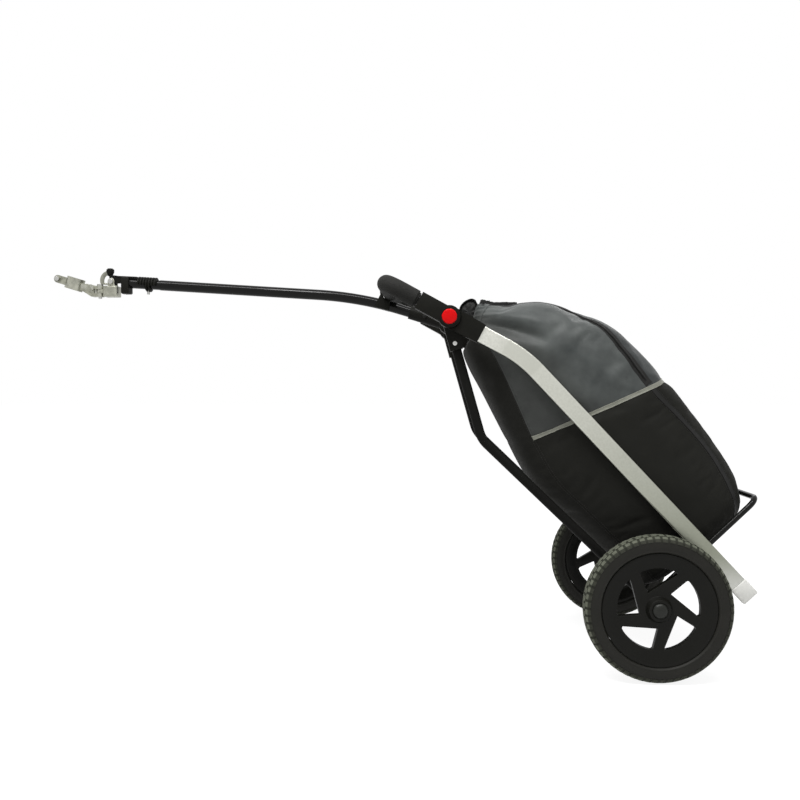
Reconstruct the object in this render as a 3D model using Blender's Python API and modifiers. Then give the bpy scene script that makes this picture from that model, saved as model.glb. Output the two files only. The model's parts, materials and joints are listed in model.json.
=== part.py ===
"""Two-wheeled shopping trailer with a drawbar that clamps to a bicycle seatpost.

Metres, +Z up. The trailer is modelled as it is towed: the seatpost clamp is at the
origin, the drawbar runs back along +X, and Y is across the trailer. Side is -1 on the
near side (-Y) and +1 on the far side.
"""
import math

import bmesh
import bpy
from mathutils import Matrix, Vector

# Fit between neighbouring pieces
GAP = 0.0003
RUNNING_GAP = 0.0005

# Heights and the main points of the side view, from the centre of the seatpost clamp
PIVOT_X = 0.8675
PIVOT_Z = -0.0974
WHEEL_X = 1.2745
WHEEL_Z = -0.6735

# Seatpost clamp
SEATPOST_RADIUS = 0.0136
SEATPOST_TILT = math.radians(17)
LINER_WALL = 0.0018
CLAMP_WALL = 0.0042
CLAMP_HEIGHT = 0.028
CLAMP_SLOT = 0.004
EAR_THICKNESS = 0.007
EAR_RADIUS = 0.009
EAR_REACH = 0.0385
CLAMP_BOLT_RADIUS = 0.003
ARM_HALF_WIDTH = 0.009
ARM_WEB = 0.014

# Hitch joints
YAW_PIN_X = 0.0600
YAW_PIN_Z = -0.0180
YAW_PIN_RADIUS = 0.004
FORK_HEIGHT = 0.0245
FORK_MOUTH = 0.0100
YAW_TONGUE = 0.0092
BLOCK_START = 0.0715
BLOCK_END = 0.1045
BLOCK_TOP = -0.0060
BLOCK_BOTTOM = -0.0310
BLOCK_HALF_WIDTH = 0.014
PITCH_X = 0.0897
PITCH_Z = 0.0040
PITCH_BOLT_RADIUS = 0.0035
PITCH_EAR_RADIUS = 0.0078
PITCH_EAR_THICKNESS = 0.0040
EYE_HALF_WIDTH = 0.0070
COUPLER_START = 0.1135
COUPLER_END = 0.1320
COUPLER_TOP = 0.0135
COUPLER_BOTTOM = -0.0240
COUPLER_HALF_WIDTH = 0.0150
TONGUE_END = 0.1495
TONGUE_THICKNESS = 0.0045
TONGUE_HALF_WIDTH = 0.0080
KNOB_X = 0.0830
KNOB_RADIUS = 0.0088
KNOB_BASE = 0.0195
KNOB_TOP = 0.0350
HOOK_THICKNESS = 0.0040
HOOK_PIVOT_X = 0.0790
HOOK_PIVOT_Z = -0.0160
HOOK_RIVET_RADIUS = 0.0025

# Drawbar
DRAWBAR_RADIUS = 0.011
DRAWBAR_START = (0.1185, 0.0010)
DRAWBAR_BEND = (0.6690, -0.0353)
DRAWBAR_BEND_RADIUS = 0.84
DRAWBAR_END_TO_PIVOT = 0.031
COLLAR_START = 0.1505
COLLAR_LENGTH = 0.045
COLLAR_RADIUS = 0.0135
COLLAR_RIBS = 7
COLLAR_RIB_HEIGHT = 0.0035
COLLAR_SCREW_RADIUS = 0.0032

# Drawbar sleeve, which clamps the drawbar to the handle's cross tube
SLEEVE_WALL = 0.0040
SLEEVE_LENGTH = 0.0930
SLEEVE_RING_RADIUS = 0.0225
SLEEVE_RING_HALF_WIDTH = 0.0220
SLEEVE_BOLT_RADIUS = 0.0030

# Gauge: half the distance between the side bars. Handle, tubes, wheels and bag follow it.
BAR_HALF_GAUGE = 0.190

# Handle bow
BOW_HALF_WIDTH = BAR_HALF_GAUGE
BOW_RADIUS = 0.011
BOW_LENGTH = 0.1512
BOW_ANGLE = math.radians(151.1)
BOW_CORNER = 0.040
GRIP_RADIUS = 0.0186
GRIP_END = 0.0765
ARM_START = 0.0705
ARM_TUBE_DEPTH = 0.0300
ARM_TOP = 0.0180
ARM_BOTTOM = 0.0185
HUB_RADIUS = 0.0228
HUB_SPLIT_INSET = 0.0022
HUB_OUTER_OFFSET = 0.0175
ARM_INSET = 0.0135
HUB_SPLIT = BAR_HALF_GAUGE - HUB_SPLIT_INSET
HUB_OUTER = BAR_HALF_GAUGE + HUB_OUTER_OFFSET
ARM_INNER = BAR_HALF_GAUGE - ARM_INSET
PIVOT_TUBE_RADIUS = 0.0125
PIVOT_TUBE_WALL = 0.0035
BUTTON_RADIUS = 0.0155
BUTTON_TRAVEL = 0.004
BUTTON_PROUD = 0.0040
BUTTON_THICKNESS = 0.0120
BUTTON_FLOOR = 0.0037
BUTTON_COLLAR_WIDTH = 0.0032
BUTTON_COLLAR_PROUD = 0.0015

# Hook that ties the drawbar to the handle's crossbar
TIE_X0 = 0.7010
TIE_X1 = 0.7330
TIE_HALF_WIDTH = 0.0170
TIE_WALL = 0.0045

# Side bars
BAR_THICKNESS = 0.014
BAR_WIDTH = 0.034
BAR_ANGLE_TOP = math.radians(-28.2)
BAR_ANGLE_MAIN = math.radians(-46.95)
BAR_TOP_START = 0.040
BAR_CORNER = 0.1691
BAR_BEND_RADIUS = 0.26
BAR_MAIN_LENGTH = 0.6660
FOOT_LENGTH = 0.038
FOOT_WALL = 0.0012
HOLDER_WALL = 0.0024
HOLDER_HUB_WALL = 0.0054
HOLDER_END = 0.0736
HOLDER_SIDE_WALL = 0.0035
HOLDER_INSET = 0.0145
HUB_INNER = BAR_HALF_GAUGE - HOLDER_INSET
TAB_BOTTOM = -0.1645
TAB_HALF_WIDTH = 0.0135
TAB_WALL = 0.0030

# Lower tubes, axle and base loop
TUBE_RADIUS = 0.010
TUBE_INSET = 0.032
TUBE_HALF_GAUGE = BAR_HALF_GAUGE - TUBE_INSET
TUBE_TOP = (0.8760, -0.1400)
TUBE_CORNER = (0.9345, -0.3480)
TUBE_BEND_RADIUS = 0.060
TUBE_SCREW_RADIUS = 0.0030
AXLE_TUBE_RADIUS = 0.011
AXLE_RADIUS = 0.006
LOOP_RADIUS = 0.006
LOOP_INSET = 0.0145
LOOP_HALF_WIDTH = BAR_HALF_GAUGE - LOOP_INSET
LOOP_CORNER_X = 1.4900
LOOP_CORNER_Z = -0.4655
LOOP_BEND_RADIUS = 0.024
SADDLE_RADIUS = 0.008
HANG_ROD_RADIUS = 0.005
HANG_ROD_X = 0.9045
HANG_ROD_Z = -0.0985

# Wheels
WHEEL_RADIUS = 0.145
WHEEL_OFFSET = 0.0525
WHEEL_HALF_TRACK = BAR_HALF_GAUGE + WHEEL_OFFSET
TYRE_HALF_WIDTH = 0.024
RIM_RADIUS = 0.111
RIM_HALF_WIDTH = 0.020
WEB_OUTER = 0.011
WEB_INNER = -0.003
WEB_RADIUS = 0.086
HUB_BOSS_RADIUS = 0.024
HUB_HALF_LENGTH = 0.023
BEARING_WALL = 0.002
CAP_RADIUS = 0.0147
CAP_TRAVEL = 0.003
CAP_POCKET = 0.005
CAP_HEIGHT = 0.0090
SPOKES = 5
WINDOW_RADIUS = 0.0805
WINDOW_APEX_RADIUS = 0.0378
WINDOW_APEX = math.radians(52.4)
WINDOW_SHORT_SIDE = math.radians(46.1)
WINDOW_LONG_SIDE = math.radians(-10.0)
WINDOW_CORNER = 0.003
FAR_WHEEL_TURN = math.radians(-7.7)

# Bag
BAG_CLEARANCE = 0.027
BAG_HALF_WIDTH = BAR_HALF_GAUGE - BAG_CLEARANCE
BAG_SQUARENESS = 4.0
BAG_SECTION_POINTS = 32
STRAP_BEHIND = 0.0725
STRAP_REACH = (0, 0.0525, 0.0808)
STRAP_SPAN = [PIVOT_X + STRAP_BEHIND + reach for reach in STRAP_REACH]
STRAP_TOP = (-0.0450, -0.0490, -0.0520)
STRAP_LIFT = 0.0002
STRAP_HALF_WIDTH = 0.015
WEBBING = 0.002
HANG_LOOP_HALF_WIDTH = 0.020
HANG_LOOP_TOP = (0.9114, -0.0655)
HANG_LOOP_TOP_RADIUS = 0.0215

PIVOT = Vector((PIVOT_X, 0, PIVOT_Z))
WHEEL_CENTRE = Vector((WHEEL_X, 0, WHEEL_Z))


def clear_scene():
    for item in list(bpy.data.objects):
        bpy.data.objects.remove(item, do_unlink=True)


def make_collection(name):
    collection = bpy.data.collections.new(name)
    bpy.context.scene.collection.children.link(collection)
    return collection


clear_scene()
PARTS = make_collection("shopping_trailer")
CUTTERS = make_collection("cutters")


def make_material(name, colour, roughness, metallic=0.0):
    material = bpy.data.materials.new(name)
    material.use_nodes = True
    shader = material.node_tree.nodes["Principled BSDF"]
    shader.inputs["Base Color"].default_value = (*colour, 1.0)
    shader.inputs["Roughness"].default_value = roughness
    shader.inputs["Metallic"].default_value = metallic
    return material


ALUMINIUM = make_material("brushed aluminium", (0.62, 0.62, 0.58), 0.38, 0.9)
ZINC = make_material("cast zinc", (0.52, 0.52, 0.47), 0.42, 0.85)
STEEL = make_material("plated steel", (0.66, 0.66, 0.64), 0.28, 1.0)
BLACK_PAINT = make_material("black painted steel", (0.012, 0.012, 0.013), 0.25)
BLACK_PLASTIC = make_material("black plastic", (0.016, 0.017, 0.017), 0.5)
RED_PLASTIC = make_material("red plastic", (0.75, 0.01, 0.015), 0.35)
GRIP_RUBBER = make_material("grip rubber", (0.014, 0.014, 0.013), 0.75)
TYRE_RUBBER = make_material("tyre rubber", (0.022, 0.022, 0.02), 0.8)
GREY_CAP = make_material("light grey plastic", (0.60, 0.60, 0.56), 0.45)
BLACK_FABRIC = make_material("black fabric", (0.012, 0.012, 0.011), 0.9)
GREY_FABRIC = make_material("grey fabric", (0.075, 0.085, 0.09), 0.85)


def move_to(item, collection):
    for owner in list(item.users_collection):
        owner.objects.unlink(item)
    collection.objects.link(item)


def finish_part(item, material, smooth=True):
    """Name the piece's material, shade it and keep it with the parts."""
    item.data.materials.clear()
    item.data.materials.append(material)
    move_to(item, PARTS)
    if smooth and item.type == "MESH":
        item.data.shade_smooth()
        item.data.set_sharp_from_angle(angle=math.radians(35))
    return item


def make_cutter(item):
    move_to(item, CUTTERS)
    item.hide_render = True
    item.display_type = "WIRE"
    return item


def to_mesh(item):
    """Turn a curve object into a closed mesh object with the same place."""
    bpy.context.view_layer.update()
    evaluated = item.evaluated_get(bpy.context.evaluated_depsgraph_get())
    mesh = bpy.data.meshes.new_from_object(evaluated)
    work = bmesh.new()
    work.from_mesh(mesh)
    bmesh.ops.remove_doubles(work, verts=work.verts, dist=0.000002)
    bmesh.ops.recalc_face_normals(work, faces=work.faces)
    work.to_mesh(mesh)
    work.free()
    solid = bpy.data.objects.new(item.name + "_solid", mesh)
    solid.matrix_world = item.matrix_world
    PARTS.objects.link(solid)
    name = item.name
    bpy.data.objects.remove(item, do_unlink=True)
    solid.name = name
    return solid


def boolean(item, other, operation):
    modifier = item.modifiers.new(operation.lower(), "BOOLEAN")
    modifier.operation = operation
    modifier.object = make_cutter(other)
    return item


def cut(item, other):
    return boolean(item, other, "DIFFERENCE")


def join(item, other):
    return boolean(item, other, "UNION")


def bevel(item, width, segments=1):
    """Round the edges; the weld first closes what a filled outline leaves loose."""
    weld = item.modifiers.new("weld", "WELD")
    weld.merge_threshold = 0.000002
    modifier = item.modifiers.new("bevel", "BEVEL")
    modifier.width = width
    modifier.segments = segments
    modifier.limit_method = "ANGLE"
    modifier.angle_limit = math.radians(40)
    return item


def arc(centre, radius, start, stop, steps):
    """Points on a circle in the side view, from one angle to another."""
    return [(centre[0] + radius * math.cos(start + (stop - start) * i / steps),
             centre[1] + radius * math.sin(start + (stop - start) * i / steps))
            for i in range(steps + 1)]


def turn(vector, angle):
    cosine, sine = math.cos(angle), math.sin(angle)
    return (vector[0] * cosine - vector[1] * sine, vector[0] * sine + vector[1] * cosine)


def along(origin, angle, distance, offset=0.0):
    """Side-view point at a distance along a direction and an offset to its left."""
    return (origin[0] + distance * math.cos(angle) - offset * math.sin(angle),
            origin[1] + distance * math.sin(angle) + offset * math.cos(angle))


def rounded_path(points, radius, steps):
    """Polyline with each inner corner replaced by an arc of the given radius."""
    vectors = [Vector(p) for p in points]
    path = [vectors[0]]
    for before, corner, after in zip(vectors, vectors[1:], vectors[2:]):
        inward = (before - corner).normalized()
        outward = (after - corner).normalized()
        half = inward.angle(outward) / 2
        reach = radius / math.tan(half)
        centre = corner + (inward + outward).normalized() * (radius / math.sin(half))
        first = (corner + inward * reach - centre).normalized()
        last = (corner + outward * reach - centre).normalized()
        for i in range(steps + 1):
            path.append(centre + first.slerp(last, i / steps) * radius)
    path.append(vectors[-1])
    return path


def tube(name, path, radius, resolution=4):
    """Round bar along a path of points, with filled ends."""
    curve = bpy.data.curves.new(name, "CURVE")
    curve.dimensions = "3D"
    curve.bevel_depth = radius
    curve.bevel_resolution = resolution
    curve.use_fill_caps = True
    spline = curve.splines.new("POLY")
    spline.points.add(len(path) - 1)
    for point, place in zip(spline.points, path):
        point.co = (place[0], place[1], place[2], 1.0)
    item = bpy.data.objects.new(name, curve)
    PARTS.objects.link(item)
    return item


def plate(name, outline, y0, y1):
    """Side-view outline (x, z) given a thickness from y0 to y1."""
    curve = bpy.data.curves.new(name, "CURVE")
    curve.dimensions = "2D"
    curve.fill_mode = "BOTH"
    curve.extrude = abs(y1 - y0) / 2
    spline = curve.splines.new("POLY")
    spline.points.add(len(outline) - 1)
    for point, place in zip(spline.points, outline):
        point.co = (place[0], place[1], 0.0, 1.0)
    spline.use_cyclic_u = True
    item = bpy.data.objects.new(name, curve)
    item.rotation_euler = (math.pi / 2, 0, 0)
    item.location = (0, (y0 + y1) / 2, 0)
    PARTS.objects.link(item)
    return item


def cylinder(name, start, stop, radius, vertices=24):
    """Cylinder from one point to another."""
    start, stop = Vector(start), Vector(stop)
    axis = stop - start
    bpy.ops.mesh.primitive_cylinder_add(vertices=vertices, radius=radius, depth=axis.length)
    item = bpy.context.object
    item.name = name
    item.rotation_mode = "QUATERNION"
    item.rotation_quaternion = Vector((0, 0, 1)).rotation_difference(axis)
    item.location = (start + stop) / 2
    move_to(item, PARTS)
    return item


def box(name, low, high):
    bpy.ops.mesh.primitive_cube_add(size=1.0)
    item = bpy.context.object
    item.name = name
    item.location = [(a + b) / 2 for a, b in zip(low, high)]
    item.data.transform(Matrix.Diagonal([b - a for a, b in zip(low, high)] + [1.0]))
    move_to(item, PARTS)
    return item


def turned(name, profile, steps, closed):
    """Profile (radius, height), down its outer side, turned about the Z axis."""
    mesh = bpy.data.meshes.new(name)
    count = len(profile)
    edges = [(i, i + 1) for i in range(count - 1)]
    if closed:
        edges.append((count - 1, 0))
    mesh.from_pydata([(r, 0, h) for r, h in profile], edges, [])
    item = bpy.data.objects.new(name, mesh)
    PARTS.objects.link(item)
    screw = item.modifiers.new("screw", "SCREW")
    screw.axis = "Z"
    screw.steps = steps
    screw.render_steps = steps
    screw.use_merge_vertices = True
    screw.merge_threshold = 0.00001
    return item


def across(item, x, z, y, side):
    """Lay a turned piece across the trailer, its top facing outward on its side."""
    item.rotation_euler = (math.pi / 2 if side < 0 else -math.pi / 2, 0, 0)
    item.location = (x, y, z)
    return item


def side_name(side):
    return "left" if side < 0 else "right"


def hull_of_circles(first, first_radius, second, second_radius, steps):
    """Outline of a belt round two circles in the side view."""
    dx, dz = second[0] - first[0], second[1] - first[1]
    length = math.hypot(dx, dz)
    heading = math.atan2(dz, dx)
    spread = math.acos((first_radius - second_radius) / length)
    outline = arc(first, first_radius, heading + spread, heading + 2 * math.pi - spread, steps)
    outline += arc(second, second_radius, heading - spread, heading + spread, steps)
    return outline


def make_clamp():
    """Seatpost clamp: split ring with ears in front and a fork behind, in one casting."""
    tilt = bpy.data.objects.new("seatpost_axis", None)
    tilt.rotation_euler = (0, SEATPOST_TILT, 0)
    CUTTERS.objects.link(tilt)
    bore = SEATPOST_RADIUS + GAP + LINER_WALL + GAP
    ring = cylinder("clamp_casting", (0, 0, -CLAMP_HEIGHT / 2), (0, 0, CLAMP_HEIGHT / 2),
                    bore + CLAMP_WALL, 40)
    ears = plate("clamp_ears", [(-0.85 * bore, EAR_RADIUS), (-0.85 * bore, -EAR_RADIUS)]
                 + arc((-EAR_REACH, 0), EAR_RADIUS, -math.pi / 2, -3 * math.pi / 2, 10),
                 -CLAMP_SLOT / 2 - EAR_THICKNESS, CLAMP_SLOT / 2 + EAR_THICKNESS)
    ears = to_mesh(ears)
    axis = (math.sin(SEATPOST_TILT), math.cos(SEATPOST_TILT))
    fork_top = YAW_PIN_Z + FORK_HEIGHT / 2
    fork_bottom = YAW_PIN_Z - FORK_HEIGHT / 2
    web = ARM_WEB / 2
    root = (0.8 * bore * math.cos(SEATPOST_TILT), -0.8 * bore * math.sin(SEATPOST_TILT))
    arm_outline = [(root[0] + web * axis[0], root[1] + web * axis[1]),
                   (root[0] - web * axis[0], root[1] - web * axis[1]),
                   (YAW_PIN_X - 2 * ARM_HALF_WIDTH, fork_bottom),
                   (YAW_PIN_X, fork_bottom), (YAW_PIN_X, fork_top),
                   (YAW_PIN_X - 2 * ARM_HALF_WIDTH, fork_top)]
    arm = to_mesh(plate("clamp_arm", arm_outline, -ARM_HALF_WIDTH, ARM_HALF_WIDTH))
    fork_top += 0.0004
    fork_bottom -= 0.0004
    knuckle = cylinder("clamp_knuckle", (YAW_PIN_X, 0, fork_bottom), (YAW_PIN_X, 0, fork_top),
                       ARM_HALF_WIDTH + 0.0006, 24)
    lobe_pitch = (YAW_PIN_X - 2 * ARM_HALF_WIDTH - bore) / 3
    for item in (ring, ears):
        item.parent = tilt
    join(ring, ears)
    for index, item in enumerate((arm, knuckle)):
        join(ring, item)
    for index in range(3):
        x = bore + lobe_pitch * (index + 0.5) + CLAMP_WALL
        z = -x * math.tan(SEATPOST_TILT) * 0.8
        lobe = cylinder(f"clamp_lobe_{index}", (x, -ARM_HALF_WIDTH - 0.003, z),
                        (x, ARM_HALF_WIDTH + 0.003, z), 0.0062 + 0.0008 * index, 16)
        join(ring, lobe)
    hole = cylinder("clamp_bore", (0, 0, -CLAMP_HEIGHT), (0, 0, CLAMP_HEIGHT), bore, 40)
    slot = box("clamp_slot", (-EAR_REACH - 2 * EAR_RADIUS, -CLAMP_SLOT / 2, -CLAMP_HEIGHT),
               (0, CLAMP_SLOT / 2, CLAMP_HEIGHT))
    reach = CLAMP_SLOT / 2 + EAR_THICKNESS
    bolt_hole = cylinder("clamp_bolt_hole", (-EAR_REACH, -2 * reach, 0),
                         (-EAR_REACH, 2 * reach, 0), CLAMP_BOLT_RADIUS + GAP, 16)
    for item in (hole, slot, bolt_hole):
        item.parent = tilt
        cut(ring, item)
    mouth = box("fork_mouth", (YAW_PIN_X - 1.25 * ARM_HALF_WIDTH, -0.02, YAW_PIN_Z - FORK_MOUTH / 2),
                (YAW_PIN_X + 0.02, 0.02, YAW_PIN_Z + FORK_MOUTH / 2))
    cut(ring, mouth)
    pin_hole = cylinder("fork_pin_hole", (YAW_PIN_X, 0, YAW_PIN_Z - FORK_HEIGHT),
                        (YAW_PIN_X, 0, YAW_PIN_Z + FORK_HEIGHT), YAW_PIN_RADIUS + GAP, 20)
    cut(ring, pin_hole)
    finish_part(ring, ZINC)

    liner = turned("post_liner",
                   [(SEATPOST_RADIUS + GAP + LINER_WALL, CLAMP_HEIGHT / 2),
                    (SEATPOST_RADIUS + GAP + LINER_WALL, -CLAMP_HEIGHT / 2),
                    (SEATPOST_RADIUS, -CLAMP_HEIGHT / 2),
                    (SEATPOST_RADIUS, CLAMP_HEIGHT / 2)], 40, True)
    liner.parent = tilt
    finish_part(liner, GRIP_RUBBER, smooth=False)

    bolt = turned("clamp_bolt",
                  [(0, reach + 0.0062), (0.0052, reach + 0.0062), (0.0052, reach + GAP),
                   (CLAMP_BOLT_RADIUS, reach + GAP), (CLAMP_BOLT_RADIUS, -reach - 0.006),
                   (0, -reach - 0.006)], 20, False)
    bolt.rotation_euler = (math.pi / 2, 0, 0)
    bolt.location = (-EAR_REACH, 0, 0)
    bolt.parent = tilt
    finish_part(bolt, STEEL, smooth=False)
    nut = cylinder("clamp_nut", (-EAR_REACH, reach + GAP, 0), (-EAR_REACH, reach + 0.0052, 0),
                   0.0058, 6)
    nut.parent = tilt
    nut_hole = cylinder("clamp_nut_hole", (-EAR_REACH, reach - 0.002, 0),
                        (-EAR_REACH, reach + 0.008, 0), CLAMP_BOLT_RADIUS + GAP, 16)
    nut_hole.parent = tilt
    finish_part(cut(nut, nut_hole), STEEL, smooth=False)

    head = fork_top + GAP
    pin = turned("yaw_pin",
                 [(0, head + 0.004), (YAW_PIN_RADIUS + 0.003, head + 0.004),
                  (YAW_PIN_RADIUS + 0.003, head), (YAW_PIN_RADIUS, head),
                  (YAW_PIN_RADIUS, fork_bottom - 0.004), (0, fork_bottom - 0.004)], 20, False)
    pin.location = (YAW_PIN_X, 0, 0)
    finish_part(pin, STEEL, smooth=False)


def make_swivel():
    """Swivel block, which turns on the fork's pin and carries the cross bolt."""
    block = box("swivel_block", (BLOCK_START, -BLOCK_HALF_WIDTH, BLOCK_BOTTOM),
                (BLOCK_END, BLOCK_HALF_WIDTH, BLOCK_TOP))
    bevel(block, 0.0015)
    tongue = box("swivel_tongue", (YAW_PIN_X, -ARM_HALF_WIDTH + 0.001, YAW_PIN_Z - YAW_TONGUE / 2),
                 (BLOCK_START + 0.004, ARM_HALF_WIDTH - 0.001, YAW_PIN_Z + YAW_TONGUE / 2))
    join(block, tongue)
    nose = cylinder("swivel_nose", (YAW_PIN_X, 0, YAW_PIN_Z - YAW_TONGUE / 2),
                    (YAW_PIN_X, 0, YAW_PIN_Z + YAW_TONGUE / 2), ARM_HALF_WIDTH - 0.001, 24)
    join(block, nose)
    cut(block, cylinder("swivel_pin_hole", (YAW_PIN_X, 0, YAW_PIN_Z - YAW_TONGUE),
                        (YAW_PIN_X, 0, YAW_PIN_Z + YAW_TONGUE), YAW_PIN_RADIUS + GAP, 20))
    inner = EYE_HALF_WIDTH + RUNNING_GAP
    for side in (-1, 1):
        y0, y1 = sorted((side * inner, side * (inner + PITCH_EAR_THICKNESS)))
        outline = arc((PITCH_X, PITCH_Z), PITCH_EAR_RADIUS, 0, math.pi, 12)
        outline += [(PITCH_X - PITCH_EAR_RADIUS, BLOCK_TOP - 0.004),
                    (PITCH_X + PITCH_EAR_RADIUS, BLOCK_TOP - 0.004)]
        join(block, to_mesh(plate(f"swivel_ear_{side_name(side)}", outline, y0, y1)))
    reach = inner + PITCH_EAR_THICKNESS
    cut(block, cylinder("swivel_cross_hole", (PITCH_X, -2 * reach, PITCH_Z),
                        (PITCH_X, 2 * reach, PITCH_Z), PITCH_BOLT_RADIUS + GAP, 20))
    well = cylinder("swivel_well", (PITCH_X, -inner, PITCH_Z), (PITCH_X, inner, PITCH_Z),
                    PITCH_EAR_RADIUS + 0.0035, 24)
    cut(block, well)
    rivet_hole = cylinder("swivel_rivet_hole", (HOOK_PIVOT_X, 0.004, HOOK_PIVOT_Z),
                          (HOOK_PIVOT_X, 0.030, HOOK_PIVOT_Z), HOOK_RIVET_RADIUS + GAP, 16)
    cut(block, rivet_hole)
    finish_part(block, ZINC)

    bolt = turned("pitch_bolt",
                  [(0, reach + 0.0048), (0.0060, reach + 0.0040), (0.0060, reach + GAP),
                   (PITCH_BOLT_RADIUS, reach + GAP), (PITCH_BOLT_RADIUS, -reach - 0.0048),
                   (0, -reach - 0.0048)], 20, False)
    bolt.rotation_euler = (math.pi / 2, 0, 0)
    bolt.location = (PITCH_X, 0, PITCH_Z)
    finish_part(bolt, STEEL, smooth=False)
    nut = cylinder("pitch_nut", (PITCH_X, reach + GAP, PITCH_Z), (PITCH_X, reach + 0.0042, PITCH_Z),
                   0.0062, 6)
    cut(nut, cylinder("pitch_nut_hole", (PITCH_X, reach - 0.002, PITCH_Z),
                      (PITCH_X, reach + 0.008, PITCH_Z), PITCH_BOLT_RADIUS + GAP, 16))
    finish_part(nut, STEEL, smooth=False)

    y0 = BLOCK_HALF_WIDTH + GAP
    y1 = y0 + HOOK_THICKNESS
    outer = arc((0.0762, 0.0100), 0.0230, math.radians(92), math.radians(206), 10)
    foot = [(0.0725, -0.0004), (0.0725, -0.0210), (0.0845, -0.0210), (0.0845, -0.0050),
            (0.0780, 0.0015)]
    inner_arc = arc((0.0782, 0.0085), 0.0160, math.radians(194), math.radians(96), 10)
    hook = to_mesh(plate("safety_hook", outer + foot + inner_arc, y0, y1))
    cut(hook, cylinder("hook_hole", (HOOK_PIVOT_X, y0 - 0.002, HOOK_PIVOT_Z),
                       (HOOK_PIVOT_X, y1 + 0.002, HOOK_PIVOT_Z), HOOK_RIVET_RADIUS + GAP, 16))
    finish_part(hook, ZINC)
    rivet = turned("hook_rivet",
                   [(0, y1 + 0.0022), (0.0042, y1 + 0.0018), (0.0042, y1 + GAP),
                    (HOOK_RIVET_RADIUS, y1 + GAP), (HOOK_RIVET_RADIUS, 0.0050), (0, 0.0050)], 16, False)
    rivet.rotation_euler = (-math.pi / 2, 0, 0)
    rivet.location = (HOOK_PIVOT_X, 0, HOOK_PIVOT_Z)
    finish_part(rivet, STEEL, smooth=False)


def drawbar_path():
    angle = math.atan2(PIVOT_Z - DRAWBAR_BEND[1], PIVOT_X - DRAWBAR_BEND[0])
    end = along((PIVOT_X, PIVOT_Z), angle, -DRAWBAR_END_TO_PIVOT)
    corners = [(DRAWBAR_START[0], 0, DRAWBAR_START[1]), (DRAWBAR_BEND[0], 0, DRAWBAR_BEND[1]),
               (end[0], 0, end[1])]
    return rounded_path(corners, DRAWBAR_BEND_RADIUS, 10), angle


def make_coupler():
    """Coupler: eye on the cross bolt, socket round the drawbar's end and tongue above it."""
    path, angle = drawbar_path()
    heading = (path[1] - path[0]).normalized()
    outline = arc((PITCH_X, PITCH_Z), PITCH_EAR_RADIUS + 0.001, math.radians(60),
                  math.radians(340), 16)
    outline += [(COUPLER_START, PITCH_Z - 0.0025), (COUPLER_START, COUPLER_BOTTOM),
                (COUPLER_END - 0.001, COUPLER_BOTTOM), (COUPLER_END - 0.001, COUPLER_TOP),
                (KNOB_X + KNOB_RADIUS + 0.004, KNOB_BASE - 0.001),
                (KNOB_X - 0.005, KNOB_BASE - 0.001)]
    eye = to_mesh(plate("coupler", outline, -EYE_HALF_WIDTH, EYE_HALF_WIDTH))
    block = box("coupler_block", (COUPLER_START, -COUPLER_HALF_WIDTH, COUPLER_BOTTOM),
                (COUPLER_END, COUPLER_HALF_WIDTH, COUPLER_TOP))
    bevel(block, 0.003, 2)
    join(eye, block)
    tongue_bottom = DRAWBAR_START[1] + DRAWBAR_RADIUS - 0.0005
    tongue_outline = [(COUPLER_START, tongue_bottom), (TONGUE_END, tongue_bottom - 0.0012),
                      (TONGUE_END, tongue_bottom + TONGUE_THICKNESS - 0.0012),
                      (COUPLER_START - 0.018, tongue_bottom + TONGUE_THICKNESS + 0.0015)]
    join(eye, to_mesh(plate("coupler_tongue", tongue_outline, -TONGUE_HALF_WIDTH,
                            TONGUE_HALF_WIDTH)))
    cut(eye, cylinder("coupler_cross_hole", (PITCH_X, -0.02, PITCH_Z), (PITCH_X, 0.02, PITCH_Z),
                      PITCH_BOLT_RADIUS + GAP, 20))
    front = path[0] - heading * GAP
    cut(eye, cylinder("coupler_bore", front, front + heading * 0.06,
                      DRAWBAR_RADIUS + RUNNING_GAP, 24))
    cut(eye, cylinder("coupler_plunger_hole", (KNOB_X + 0.001, 0, 0.0125),
                      (KNOB_X + 0.001, 0, KNOB_BASE + 0.01), 0.0025 + GAP, 16))
    finish_part(eye, BLACK_PLASTIC)
    knob = turned("pull_knob",
                  [(0, KNOB_TOP), (KNOB_RADIUS - 0.003, KNOB_TOP), (KNOB_RADIUS, KNOB_TOP - 0.003),
                   (KNOB_RADIUS, KNOB_BASE + 0.007), (KNOB_RADIUS - 0.003, KNOB_BASE),
                   (0.0025, KNOB_BASE), (0.0025, 0.0130), (0, 0.0130)], 20, False)
    knob.location = (KNOB_X + 0.001, 0, 0)
    finish_part(knob, BLACK_PLASTIC, smooth=False)


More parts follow.
